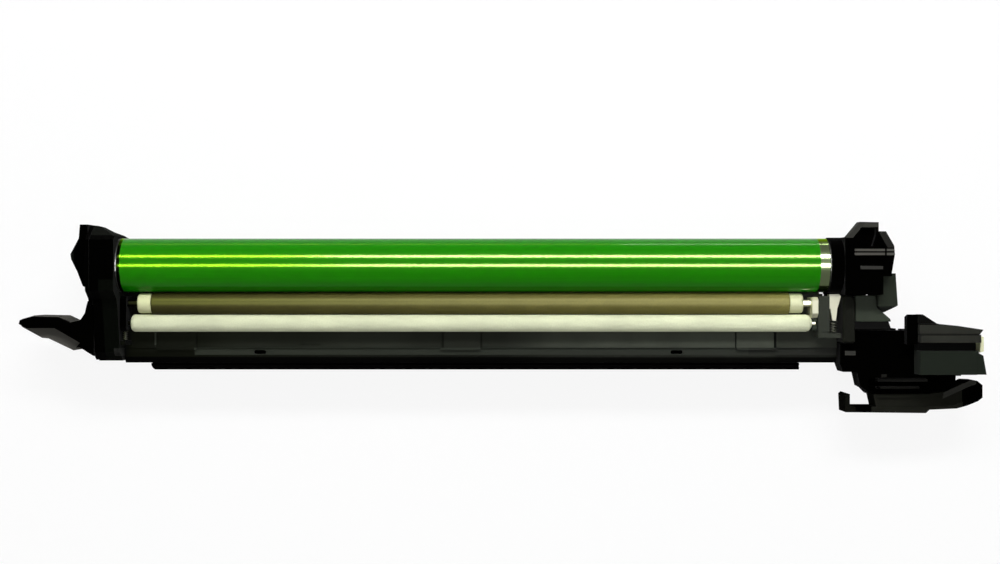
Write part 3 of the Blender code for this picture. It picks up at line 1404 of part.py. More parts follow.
# Front end: housing with the drum's front bearing, side block, column, pocket cover, bracket, box and tray
COLLAR_LENGTH = 11.4 * MM
COLLAR_RADIUS = DRUM_RADIUS + 0.5 * MM
COLLAR_CAVITY_END = FRONT_BEARING_START - 0.8 * MM
PLATE_LENGTH = 7.6 * MM
PIPE_RADIUS = 6.4 * MM
PIPE_WALL = 1.2 * MM
SLEEVE_WALL = 1.5 * MM
SLEEVE_START = FRONT + 28.9 * MM
SLEEVE_LENGTH = 6.6 * MM
SLEEVE_TRAVEL = 5.0 * MM
SHUT_SPRING_LENGTH = 3.9 * MM  # with the sleeve pushed back
RECESS_START = SLEEVE_START - SLEEVE_TRAVEL - SHUT_SPRING_LENGTH
EAR_LOW = FRONT_HEIGHT - 8.0 * MM
BASE_TOP = 19.0 * MM
AUGER_AXIS = (AUGER_Y, AUGER_Z)


def front_housing():
    """The front end moulding: collar round the drum flange, bearing hub, ridges and waste tunnel."""
    plan = [
        (7.6, 15.4), (8.8, 15.6), (15.6, 23.8), (26.0, 23.6), (26.0, 18.6), (30.0, 18.6), (34.6, 10.6),
        (34.9, 5.7), (33.4, -3.6), (28.6, -4.1), (28.6, -16.3), (7.6, -16.3),
    ]
    housing = part("front_housing", slab_xy([outward(plan, FRONT)], 0.0, FRONT_HEIGHT), "housing_black")
    plate_outline = [
        (ROLLER_WALL_Y + 0.7 * MM, 0.0),
        (ROLLER_WALL_Y + 0.7 * MM, DRUM_AXIS_HEIGHT - COLLAR_RADIUS + 3.0 * MM),
        (CASING_TOP_Y, DRUM_AXIS_HEIGHT - COLLAR_RADIUS + 3.0 * MM),
        (CASING_TOP_Y, 0.0),
    ][::-1]
    join(housing, slab_yz([plate_outline], FRONT_WALL, FRONT + PLATE_LENGTH + MM), "plate")
    centre = (0.0, DRUM_AXIS_HEIGHT)
    collar = cylinder(COLLAR_RADIUS, FRONT_WALL, FRONT_WALL + COLLAR_LENGTH, centre, segments=48)
    join(housing, collar, "collar")
    lip_low = SIDE_TOP + 2 * SEAT_GAP
    lip_high = FRONT_HEIGHT - 0.2 * MM
    lip = box((FRONT + 27.0 * MM, -6.2 * MM, lip_low), (FRONT + 33.3 * MM, -3.0 * MM, lip_high))
    join(housing, lip, "lip")
    base = [
        (8.0, -10.0), (28.0, -10.0), (28.0, -16.0), (37.0, -24.0), (38.0, -36.0), (46.0, -36.2),
        (46.0, -37.4), (29.4, -37.4), (29.4, -54.0), (8.0, -54.0),
    ]
    join(housing, slab_xy([outward(base, FRONT)], 0.4 * MM, BASE_TOP), "base")
    ridges = [
        [(12.6, 8.9), (34.3, 8.9), (34.6, 7.6), (12.6, 7.6)],
        [(12.6, 6.8), (34.6, 6.8), (34.7, 5.4), (12.6, 5.4)],
        [(15.8, -0.4), (28.2, -0.6), (28.0, -2.3), (15.8, -2.4)],
    ]
    low = FRONT_HEIGHT - MM
    high = FRONT_HEIGHT + 1.2 * MM
    bands = [slab_xy([outward(outline, FRONT)[::-1]], low, high) for outline in ridges]
    join(housing, merged("bands", bands), "bands")

    ear_gap = box((FRONT + 6.0 * MM, 15.5 * MM, -MM), (FRONT + 32.0 * MM, 26.0 * MM, EAR_LOW))
    cut(housing, ear_gap, "ear_gap")
    cavity = cylinder(COLLAR_RADIUS - 1.3 * MM, FRONT_WALL - MM, COLLAR_CAVITY_END, centre, segments=36)
    cut(housing, cavity, "collar_cavity")
    seat = JOURNAL_RADIUS + RUN_GAP + BEARING_WALL + SEAT_GAP
    hub_end = FRONT_BEARING_START + BEARING_WIDTH + 2.0 * MM
    hub = cylinder(seat, COLLAR_CAVITY_END - MM, hub_end, centre, segments=28)
    cut(housing, hub, "hub")
    pocket = slab_xy(
        [outward([(15.8, 10.4), (15.8, 20.6), (24.6, 20.6), (24.6, 16.4), (22.6, 10.4)], FRONT)[::-1]],
        FRONT_HEIGHT - 5.0 * MM,
        FRONT_HEIGHT + MM,
    )
    cut(housing, pocket, "pocket")
    tunnel = cylinder(PIPE_RADIUS + SEAT_GAP, FRONT_WALL - MM, RECESS_START + MM, AUGER_AXIS, segments=24)
    cut(housing, tunnel, "tunnel")
    recess_radius = PIPE_RADIUS + SEAT_GAP + SLEEVE_WALL + SEAT_GAP
    recess = cylinder(recess_radius, RECESS_START, FRONT + 40.0 * MM, AUGER_AXIS, segments=24)
    cut(housing, recess, "recess")
    brush_axis = (BRUSH_Y, BRUSH_Z)
    brush_hole = cylinder(
        BRUSH_SHAFT_RADIUS + RUN_GAP, FRONT_WALL - MM, FRONT_WALL + 2.4 * MM, brush_axis, segments=20
    )
    cut(housing, brush_hole, "brush_hole")
    return housing


def waste_outlet(spindle):
    """The outlet pipe round the auger's end, the sleeve that closes its window and the sleeve's spring."""
    end = OUTLET_END
    pipe = turned(
        "outlet_pipe",
        [
            (FRONT_WALL + 0.4 * MM, PIPE_RADIUS),
            (end, PIPE_RADIUS),
            (end, 0.0),
            (end - 1.6 * MM, 0.0),
            (end - 1.6 * MM, PIPE_RADIUS - PIPE_WALL),
            (FRONT_WALL + 0.4 * MM, PIPE_RADIUS - PIPE_WALL),
        ],
        "cover_grey",
        spindle,
        segments=28,
        closed=True,
    )
    window = box(
        (SLEEVE_START + 1.4 * MM, AUGER_Y - 3.0 * MM, AUGER_Z - PIPE_RADIUS - MM),
        (SLEEVE_START + SLEEVE_LENGTH - 2.2 * MM, AUGER_Y + 3.0 * MM, AUGER_Z - 2.0 * MM),
    )
    cut(pipe, window, "window")
    smooth(pipe)
    inner = PIPE_RADIUS + SEAT_GAP
    sleeve = turned(
        "outlet_shutter",
        [
            (SLEEVE_START, inner + SLEEVE_WALL),
            (SLEEVE_START + SLEEVE_LENGTH - 1.0 * MM, inner + SLEEVE_WALL),
            (SLEEVE_START + SLEEVE_LENGTH, inner + SLEEVE_WALL - 0.8 * MM),
            (SLEEVE_START + SLEEVE_LENGTH, inner),
            (SLEEVE_START, inner),
        ],
        "ring_cream",
        spindle,
        segments=28,
        closed=True,
    )
    smooth(sleeve)
    coil_spring(
        "shutter_spring",
        "x",
        RECESS_START + SEAT_GAP,
        SLEEVE_START - SEAT_GAP,
        AUGER_AXIS,
        inner + SLEEVE_WALL / 2,
        0.3 * MM,
        4,
    )


SIDE_TOP = 55.0 * MM
COLUMN_TOP = 52.0 * MM
POCKET_TOP = 50.0 * MM


def front_side_block():
    """The grey block beside the front housing, bevelled below."""
    plan = [(28.9, -4.9), (36.0, -4.6), (37.1, -4.5), (38.3, -22.3), (34.0, -26.6), (28.9, -23.4)]
    block = part("front_side_block", slab_xy([outward(plan, FRONT)], 22.0 * MM, SIDE_TOP), "cover_grey")
    lip = [(27.4, -16.7), (29.5, -16.7), (29.5, -23.4), (27.4, -22.6)]
    join(block, slab_xy([outward(lip, FRONT)], POCKET_TOP + SEAT_GAP, SIDE_TOP), "lip")
    slope = slab_yz(
        [[(-22.6 * MM, SIDE_TOP + MM), (-28.0 * MM, SIDE_TOP + MM), (-28.0 * MM, SIDE_TOP - 21.0 * MM)]],
        FRONT + 27.0 * MM,
        FRONT + 39.0 * MM,
    )
    cut(block, slope, "slope")
    return block


def front_column():
    """The rounded column between the casing's beam and the pocket cover."""
    plan = [(8.4, -16.9), (13.0, -16.9), (15.0, -19.4), (15.2, -43.2), (8.4, -43.2)]
    column = part("front_column", slab_xy([outward(plan, FRONT)], 20.0 * MM, COLUMN_TOP), "cover_grey")
    edge = column.modifiers.new("edges", "BEVEL")
    edge.width = 0.8 * MM
    edge.segments = 2
    edge.limit_method = "ANGLE"
    return column


def pocket_cover():
    """The grey cover below the front housing, with its slanted side and a stepped lower edge."""
    plan = [(15.8, -16.9), (27.3, -16.9), (28.0, -23.6), (35.3, -29.9), (37.4, -36.0), (15.8, -36.0)]
    cover = part("pocket_cover", slab_xy([outward(plan, FRONT)], 24.0 * MM, POCKET_TOP), "cover_grey")
    step = box((FRONT + 14.0 * MM, -37.0 * MM, 44.0 * MM), (FRONT + 40.0 * MM, -31.5 * MM, POCKET_TOP + MM))
    cut(cover, step, "step")
    return cover


BRACKET_LOW = 6.0 * MM
BRACKET_PLATE_LOW = 30.0 * MM
BRACKET_TOP = 46.0 * MM
BOX_START = 49.9  # from the end of the drum's tube, in mm as in the outlines
SHELF_LOW = 48.0 * MM


def front_bracket():
    """The black bracket that carries the box and the tray on the casing's end."""
    plan = [
        (8.2, -43.8), (15.6, -43.8), (15.6, -36.4), (BOX_START - 0.3, -36.8), (BOX_START - 0.3, -61.2),
        (76.0, -61.2), (75.5, -67.6), (70.0, -70.6), (60.0, -72.4), (25.0, -72.4), (22.0, -69.3),
        (19.6, -68.1), (17.7, -59.8), (9.8, -59.8), (8.2, -55.5),
    ]
    plate = slab_xy([outward(plan, FRONT)], BRACKET_PLATE_LOW, BRACKET_TOP)
    bracket = part("front_bracket", plate, "housing_black")
    body = [(30.0, -38.0), (BOX_START - 1.0, -38.0), (BOX_START - 1.0, -60.0), (30.0, -60.0)]
    join(bracket, slab_xy([outward(body, FRONT)[::-1]], BRACKET_LOW, BRACKET_PLATE_LOW + MM), "body")
    hollow = [(33.0, -41.0), (BOX_START - 4.0, -41.0), (BOX_START - 4.0, -57.0), (33.0, -57.0)]
    cut(bracket, slab_xy([outward(hollow, FRONT)[::-1]], BRACKET_LOW - MM, BRACKET_TOP - 3.0 * MM), "hollow")
    ear = [(43.6, -28.9), (45.0, -27.5), (BOX_START - 0.3, -27.5), (BOX_START - 0.3, -44.0), (43.6, -44.0)]
    stem = [(44.4, -38.4), (BOX_START - 0.6, -38.4), (BOX_START - 0.6, -43.6), (44.4, -43.6)]
    join(bracket, slab_xy([outward(ear, FRONT)], SHELF_LOW, SHELF_LOW + 6.0 * MM), "ear")
    join(bracket, slab_xy([outward(stem, FRONT)], BRACKET_TOP - 2.0 * MM, SHELF_LOW + MM), "stem")
    lower = slab_xy(
        [outward([(24.0, -63.0), (73.0, -62.0), (77.0, -62.0), (77.0, -74.0), (24.0, -74.0)], FRONT)],
        36.0 * MM,
        BRACKET_TOP + MM,
    )
    cut(bracket, lower, "lower_step")
    rib_low = BRACKET_TOP - 11.0 * MM
    start = FRONT + 30.0 * MM
    ribs = [
        box((start, -65.4 * MM, rib_low), (FRONT + 58.0 * MM, -64.0 * MM, BRACKET_TOP - 3.0 * MM)),
        box((start, -69.6 * MM, rib_low), (FRONT + 54.0 * MM, -68.4 * MM, BRACKET_TOP - 5.0 * MM)),
    ]
    join(bracket, merged("ribs", ribs), "ribs")
    return bracket


def front_box():
    """The stepped box at the front end, its bands running along X."""
    steps = [
        (-27.4, 8), (-27.4, 54), (-32.4, 54), (-32.4, 57), (-38.5, 57), (-38.5, 60), (-42.9, 60), (-42.9, 50),
        (-47.5, 50), (-47.5, 58), (-60.9, 58), (-60.9, 8),
    ]
    start = FRONT + BOX_START * MM
    box_piece = part("front_box", slab_yz([millimetres(steps)[::-1]], start, FRONT + 88.0 * MM), "cover_grey")
    plan = [
        (BOX_START - 0.1, -27.4), (52.5, -27.4), (60.5, -32.6), (70.7, -33.6), (85.3, -35.8), (83.1, -38.6),
        (83.1, -48.9), (85.6, -50.2), (87.4, -60.8), (BOX_START - 0.1, -60.8),
    ]
    combine(box_piece, slab_xy([outward(plan, FRONT)], 7.0 * MM, 62.0 * MM), "plan", "INTERSECT")
    shelf = box((start - MM, -36.6 * MM, 7.0 * MM), (FRONT + 90.0 * MM, -26.0 * MM, SHELF_LOW))
    end_face = box((FRONT + 81.4 * MM, -62.0 * MM, 55.6 * MM), (FRONT + 90.0 * MM, -47.0 * MM, 59.0 * MM))
    inside = box((start + 3.0 * MM, -57.0 * MM, 7.0 * MM), (FRONT + 79.0 * MM, -39.6 * MM, 46.0 * MM))
    cut(box_piece, merged("spaces", [shelf, inside, end_face]), "spaces")
    return box_piece


TRAY_LOW = 18.0 * MM
TRAY_TOP = 36.0 * MM


def front_tray():
    """The curved tray below the box, ending in a hook on the drum side."""
    plan = [
        (13.3, -83.2), (12.9, -73.6), (14.2, -72.4), (15.8, -72.9), (15.8, -79.0), (16.8, -79.9),
        (30.6, -79.9), (29.0, -73.0), (60.4, -73.0), (70.4, -71.4), (82.6, -65.2), (88.0, -65.4),
        (91.0, -67.8), (91.0, -74.9), (88.4, -77.0), (82.2, -79.5), (76.4, -81.1), (60.9, -81.8),
        (58.9, -83.7),
    ]
    tray = part("front_tray", slab_xy([outward(plan, FRONT)], TRAY_LOW, TRAY_TOP), "cover_grey")
    hollow = [
        (33.0, -80.2), (60.0, -80.2), (74.0, -79.0), (86.0, -75.2), (88.0, -73.4), (88.0, -68.6),
        (83.4, -67.6), (71.0, -73.4), (60.8, -75.0), (31.6, -75.0),
    ]
    dish = slab_xy([outward(hollow, FRONT)], TRAY_TOP - 1.4 * MM, TRAY_TOP + MM)
    underside = slab_xy([outward(hollow, FRONT)], TRAY_LOW - MM, TRAY_TOP - 3.4 * MM)
    cut(tray, merged("hollows", [dish, underside]), "hollows")
    return tray


def connector():
    """The cream contact holder on the end of the box."""
    plan = [(83.5, -39.4), (85.4, -39.8), (85.4, -47.8), (83.5, -48.4)]
    return part("connector", slab_xy([outward(plan, FRONT)], 40.0 * MM, 57.0 * MM), "ring_cream")


def build():
    drum_spindle = axis_empty("drum_axis", 0.0, DRUM_AXIS_HEIGHT)
    charge_spindle = axis_empty("charge_axis", CHARGE_Y, DRUM_AXIS_HEIGHT)
    cleaner_spindle = axis_empty("cleaner_axis", CLEANER_Y, DRUM_AXIS_HEIGHT)
    spindles = {
        "brush": axis_empty("brush_axis", BRUSH_Y, BRUSH_Z),
        "idler": axis_empty("idler_axis", IDLER_Y, IDLER_Z),
        "auger": axis_empty("auger_axis", AUGER_Y, AUGER_Z),
    }
    main_frame()
    guide_rail()
    drum(drum_spindle)
    drum_bearings()
    charge_roller(charge_spindle)
    cleaning_roller(cleaner_spindle)
    front_slider()
    front_clip()
    rear_slider()
    roller_springs()
    cleaning_blade()
    lubricant_brush(spindles["brush"])
    lubricant_bar()
    waste_auger(spindles["auger"])
    seals()
    rear_housing()
    gear_cover()
    cover_screws()
    gear_train(spindles)
    locating_arm()
    front_housing()
    waste_outlet(spindles["auger"])
    front_side_block()
    front_column()
    pocket_cover()
    front_bracket()
    front_box()
    front_tray()
    connector()


build()
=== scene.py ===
import json
import math

import bmesh
import bpy
from mathutils import Matrix, Vector


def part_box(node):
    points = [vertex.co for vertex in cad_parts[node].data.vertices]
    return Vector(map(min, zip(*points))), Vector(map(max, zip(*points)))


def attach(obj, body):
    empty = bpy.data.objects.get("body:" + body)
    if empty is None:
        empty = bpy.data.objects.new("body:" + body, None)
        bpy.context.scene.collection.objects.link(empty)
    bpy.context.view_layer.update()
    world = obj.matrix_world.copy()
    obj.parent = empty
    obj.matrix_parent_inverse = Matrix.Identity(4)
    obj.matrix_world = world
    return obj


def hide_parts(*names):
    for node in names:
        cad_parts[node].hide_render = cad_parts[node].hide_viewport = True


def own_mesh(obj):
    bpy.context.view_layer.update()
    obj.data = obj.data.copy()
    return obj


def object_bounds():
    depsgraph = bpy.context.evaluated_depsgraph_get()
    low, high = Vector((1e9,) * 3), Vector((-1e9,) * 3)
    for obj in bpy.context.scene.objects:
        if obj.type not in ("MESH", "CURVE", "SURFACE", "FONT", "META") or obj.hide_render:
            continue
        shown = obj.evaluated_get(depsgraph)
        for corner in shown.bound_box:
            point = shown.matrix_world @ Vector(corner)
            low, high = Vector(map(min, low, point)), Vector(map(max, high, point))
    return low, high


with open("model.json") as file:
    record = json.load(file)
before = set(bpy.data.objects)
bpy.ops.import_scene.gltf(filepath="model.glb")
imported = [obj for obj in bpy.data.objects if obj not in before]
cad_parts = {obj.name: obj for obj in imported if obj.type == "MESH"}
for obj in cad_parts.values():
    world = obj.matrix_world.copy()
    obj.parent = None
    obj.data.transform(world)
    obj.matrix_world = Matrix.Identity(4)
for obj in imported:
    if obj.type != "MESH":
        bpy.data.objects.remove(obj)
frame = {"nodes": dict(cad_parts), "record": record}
nodes = frame["nodes"]
cadBox = [list(corner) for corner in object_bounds()]
scene = bpy.context.scene
print("frame loaded:", len(nodes), "nodes")


# Camera: straight above the unit, as the photograph was taken
cameraLook = {
    "place": (0.0146, -0.00936, 0.946),
    "lens": 57.78,
    "sensor": 36.0,
}
cameraData = bpy.data.cameras.new("viewCamera")
cameraData.lens = cameraLook["lens"]
cameraData.sensor_width = cameraLook["sensor"]
cameraData.clip_end = 20.0
camera = bpy.data.objects.new("viewCamera", cameraData)
camera.location = cameraLook["place"]
scene.collection.objects.link(camera)
scene.camera = camera
print("camera placed")


# Node trees
def newMaterial(name):
    material = bpy.data.materials.new(name)
    material.use_nodes = True
    tree = material.node_tree
    return material, tree, tree.nodes["Principled BSDF"]


def addNode(tree, kind, **values):
    node = tree.nodes.new(kind)
    for key, value in values.items():
        if hasattr(node, key):
            setattr(node, key, value)
        else:
            node.inputs[key.replace("_", " ")].default_value = value
    return node


def objectPattern(tree, stretch=(1.0, 1.0, 1.0)):
    coordinates = addNode(tree, "ShaderNodeTexCoord")
    mapping = addNode(tree, "ShaderNodeMapping")
    mapping.inputs["Scale"].default_value = stretch
    tree.links.new(coordinates.outputs["Object"], mapping.inputs["Vector"])
    return mapping.outputs["Vector"]


def noise(tree, vector, scale, detail=3.0, roughness=0.55):
    node = addNode(tree, "ShaderNodeTexNoise", Scale=scale, Detail=detail, Roughness=roughness)
    tree.links.new(vector, node.inputs["Vector"])
    return node.outputs["Fac"]


def ramp(tree, factor, stops):
    node = addNode(tree, "ShaderNodeValToRGB")
    elements = node.color_ramp.elements
    while len(elements) < len(stops):
        elements.new(0.5)
    for element, (place, colour) in zip(elements, stops):
        element.position = place
        element.color = (*colour, 1.0)
    tree.links.new(factor, node.inputs["Fac"])
    return node.outputs["Color"]


def mapRange(tree, factor, low, high, toLow, toHigh):
    node = addNode(tree, "ShaderNodeMapRange")
    for socket, value in (("From Min", low), ("From Max", high), ("To Min", toLow), ("To Max", toHigh)):
        node.inputs[socket].default_value = value
    tree.links.new(factor, node.inputs["Value"])
    return node.outputs["Result"]


def mixColours(tree, factor, first, second):
    node = addNode(tree, "ShaderNodeMix", data_type="RGBA")
    tree.links.new(factor, node.inputs[0])
    for index, value in ((6, first), (7, second)):
        if isinstance(value, tuple):
            node.inputs[index].default_value = (*value, 1.0)
        else:
            tree.links.new(value, node.inputs[index])
    return node.outputs[2]


def bump(tree, shader, height, strength, distance):
    node = addNode(tree, "ShaderNodeBump", Strength=strength, Distance=distance)
    tree.links.new(height, node.inputs["Height"])
    tree.links.new(node.outputs["Normal"], shader.inputs["Normal"])
    return node


def tone(colour, factor):
    return tuple(min(1.0, channel * factor) for channel in colour)


def coordinate(tree, axis):
    coordinates = addNode(tree, "ShaderNodeTexCoord")
    split = addNode(tree, "ShaderNodeSeparateXYZ")
    tree.links.new(coordinates.outputs["Object"], split.inputs["Vector"])
    return split.outputs[axis]


# 1 for the rays that show a surface as itself, 0 for those that carry its light to others
def seenDirectly(tree):
    rays = addNode(tree, "ShaderNodeLightPath")
    seen = addNode(tree, "ShaderNodeMath", operation="MAXIMUM")
    seenThrough = addNode(tree, "ShaderNodeMath", operation="MAXIMUM")
    tree.links.new(rays.outputs["Is Camera Ray"], seen.inputs[0])
    tree.links.new(rays.outputs["Is Glossy Ray"], seen.inputs[1])
    tree.links.new(seen.outputs[0], seenThrough.inputs[0])
    tree.links.new(rays.outputs["Is Transmission Ray"], seenThrough.inputs[1])
    return seenThrough.outputs[0]


# Painted light and shade: a colour multiplied by factors that change along one axis, lighter where light
# falls and darker where shade falls: (axis, start, end, [(share, shade), ...])
def paintLightAlong(tree, colourOut, paintedLightChange):
    axis, start, end, stops = paintedLightChange
    place = mapRange(tree, coordinate(tree, axis), start, end, 0.0, 1.0)
    paintedShades = ramp(tree, place, [(share, (shade, shade, shade)) for share, shade in stops])
    product = addNode(tree, "ShaderNodeMix", data_type="RGBA", blend_type="MULTIPLY")
    product.inputs[0].default_value = 1.0
    tree.links.new(colourOut, product.inputs[6])
    tree.links.new(paintedShades, product.inputs[7])
    return product.outputs[2]


# A patch of painted light and shade: another colour between pairs of parallel planes, lighter on lit facets
# and highlights, darker in shaded recesses: ([(direction, low, high), ...], colour)
def paintPatch(tree, colourOut, paintedPatch):
    limits, colour = paintedPatch
    coordinates = addNode(tree, "ShaderNodeTexCoord")
    inside = None
    for direction, low, high in limits:
        along = addNode(tree, "ShaderNodeVectorMath", operation="DOT_PRODUCT")
        along.inputs[1].default_value = direction
        tree.links.new(coordinates.outputs["Object"], along.inputs[0])
        near = addNode(tree, "ShaderNodeMath", operation="COMPARE")
        near.inputs[1].default_value = (low + high) / 2
        near.inputs[2].default_value = (high - low) / 2
        tree.links.new(along.outputs["Value"], near.inputs[0])
        if inside is None:
            inside = near.outputs[0]
            continue
        both = addNode(tree, "ShaderNodeMath", operation="MULTIPLY")
        tree.links.new(inside, both.inputs[0])
        tree.links.new(near.outputs[0], both.inputs[1])
        inside = both.outputs[0]
    return mixColours(tree, inside, colourOut, colour)


plasticLook = {
    "slowScale": 38.0,
    "fineScale": 1500.0,
    "smoother": 0.05,
    "rougher": 0.06,
    "dustRoughness": 0.4,
    "grainDepth": 0.0002,
}


# Moulded plastics: fine grain, slow changes of sheen, a little toner dust, and painted light and shade laid
# over the colour along axes and in patches
def mouldedPlastic(
    name, colour, sheen, grain=0.12, level=0.3, mottle=0.18, paintedLightChanges=(), paintedPatches=(), dust=0.03
):
    material, tree, shader = newMaterial(name)
    vector = objectPattern(tree)
    slow = noise(tree, vector, plasticLook["slowScale"], 4.0)
    colourOut = ramp(tree, slow, [(0.25, tone(colour, 1 - mottle)), (0.75, tone(colour, 1 + mottle))])
    for paintedLightChange in paintedLightChanges:
        colourOut = paintLightAlong(tree, colourOut, paintedLightChange)
    for paintedPatch in paintedPatches:
        colourOut = paintPatch(tree, colourOut, paintedPatch)
    tree.links.new(colourOut, shader.inputs["Base Color"])
    low, high = sheen - plasticLook["smoother"], sheen + plasticLook["rougher"]
    tree.links.new(mapRange(tree, slow, 0.3, 0.7, low, high), shader.inputs["Roughness"])
    shader.inputs["Specular IOR Level"].default_value = level
    shader.inputs["Sheen Weight"].default_value = dust
    shader.inputs["Sheen Roughness"].default_value = plasticLook["dustRoughness"]
    bump(tree, shader, noise(tree, vector, plasticLook["fineScale"], 2.0), grain, plasticLook["grainDepth"])
    return material


steelLook = {
    "lineStretch": (1.0, 14.0, 14.0),
    "lineScale": 260.0,
    "smoother": 0.06,
    "rougher": 0.08,
    "lineDepth": 0.0001,
}


# Drawn, ground or rolled steel with fine lines along X, and painted shade along X where given
def drawnSteel(name, colour, roughness, lines=0.08, paintedLightChanges=()):
    material, tree, shader = newMaterial(name)
    fine = noise(tree, objectPattern(tree, steelLook["lineStretch"]), steelLook["lineScale"])
    colourOut = ramp(tree, fine, [(0.3, tone(colour, 0.88)), (0.7, tone(colour, 1.1))])
    for paintedLightChange in paintedLightChanges:
        colourOut = paintLightAlong(tree, colourOut, paintedLightChange)
    tree.links.new(colourOut, shader.inputs["Base Color"])
    low, high = roughness - steelLook["smoother"], roughness + steelLook["rougher"]
    tree.links.new(mapRange(tree, fine, 0.3, 0.7, low, high), shader.inputs["Roughness"])
    shader.inputs["Metallic"].default_value = 1.0
    bump(tree, shader, fine, lines, steelLook["lineDepth"])
    return material


softLook = {"slowScale": 55.0, "cellDepth": 0.0004}


# Soft materials: ground rubber, foam, felt, brush pile, with painted light and shade along X where given
def softMaterial(
    name, colour, roughness, cell, depth, spread=0.15, level=0.2, paintedLightChanges=(), tint=(1.0, 1.0, 1.0)
):
    material, tree, shader = newMaterial(name)
    vector = objectPattern(tree)
    cells = noise(tree, vector, cell, 4.0, 0.7)
    slow = noise(tree, vector, softLook["slowScale"], 2.0)
    shade = addNode(tree, "ShaderNodeMath", operation="MULTIPLY")
    tree.links.new(cells, shade.inputs[0])
    tree.links.new(slow, shade.inputs[1])
    stops = [(0.12, tone(colour, 1 - spread)), (0.38, tone(colour, 1 + spread))]
    colourOut = ramp(tree, shade.outputs[0], stops)
    for paintedLightChange in paintedLightChanges:
        colourOut = paintLightAlong(tree, colourOut, paintedLightChange)
    tree.links.new(colourOut, shader.inputs["Base Color"])
    shader.inputs["Roughness"].default_value = roughness
    shader.inputs["Specular IOR Level"].default_value = level
    shader.inputs["Specular Tint"].default_value = (*tint, 1.0)
    bump(tree, shader, cells, depth, softLook["cellDepth"])
    return material


# The drum tube and its coating
drumLook = {
    "radius": 0.0150,
    "wall": 0.0010,
    "half": 0.1972,
    "height": 0.046,
    "coatFrom": -0.1954,
    "coatTo": 0.1917,
    "coat": (0.007, 0.175, 0.0006),
    "gloss": 0.11,
    "glossTint": (0.65, 1.0, 0.25),
    "coatRoughness": (0.136, 0.144),
    "coatSpread": 0.07,
    "coatBlend": 0.0001,
    "streakStretch": (0.4, 30.0, 30.0),
    "streakScale": 22.0,
    "bare": (0.070, 0.088, 0.045),
    "bareRear": (0.0012, 0.0020, 0.0008),
    "edge": 0.0003,
}


# Green coating over the aluminium tube, which stays bare at both ends; the rear bare end is painted
# near-black as painted shade
def drumCoating():
    material, tree, shader = newMaterial("greenDrumCoat")
    x = coordinate(tree, "X")
    start, end, blend = drumLook["coatFrom"], drumLook["coatTo"], drumLook["coatBlend"]
    left = mapRange(tree, x, start - blend, start + blend, 0.0, 1.0)
    right = mapRange(tree, x, end - blend, end + blend, 1.0, 0.0)
    coated = addNode(tree, "ShaderNodeMath", operation="MULTIPLY")
    tree.links.new(left, coated.inputs[0])
    tree.links.new(right, coated.inputs[1])
    streaks = noise(tree, objectPattern(tree, drumLook["streakStretch"]), drumLook["streakScale"])
    coat, spread = drumLook["coat"], drumLook["coatSpread"]
    green = ramp(tree, streaks, [(0.3, tone(coat, 1 - spread)), (0.7, tone(coat, 1 + spread))])
    bare = mixColours(tree, left, drumLook["bareRear"], drumLook["bare"])
    colour = mixColours(tree, coated.outputs[0], bare, green)
    tree.links.new(colour, shader.inputs["Base Color"])
    smooth, rough = drumLook["coatRoughness"]
    tree.links.new(mapRange(tree, streaks, 0.3, 0.7, smooth, rough), shader.inputs["Roughness"])
    tree.links.new(mapRange(tree, coated.outputs[0], 0.0, 1.0, 1.0, 0.0), shader.inputs["Metallic"])
    shader.inputs["Specular IOR Level"].default_value = drumLook["gloss"]
    shader.inputs["Specular Tint"].default_value = (*drumLook["glossTint"], 1.0)
    return material
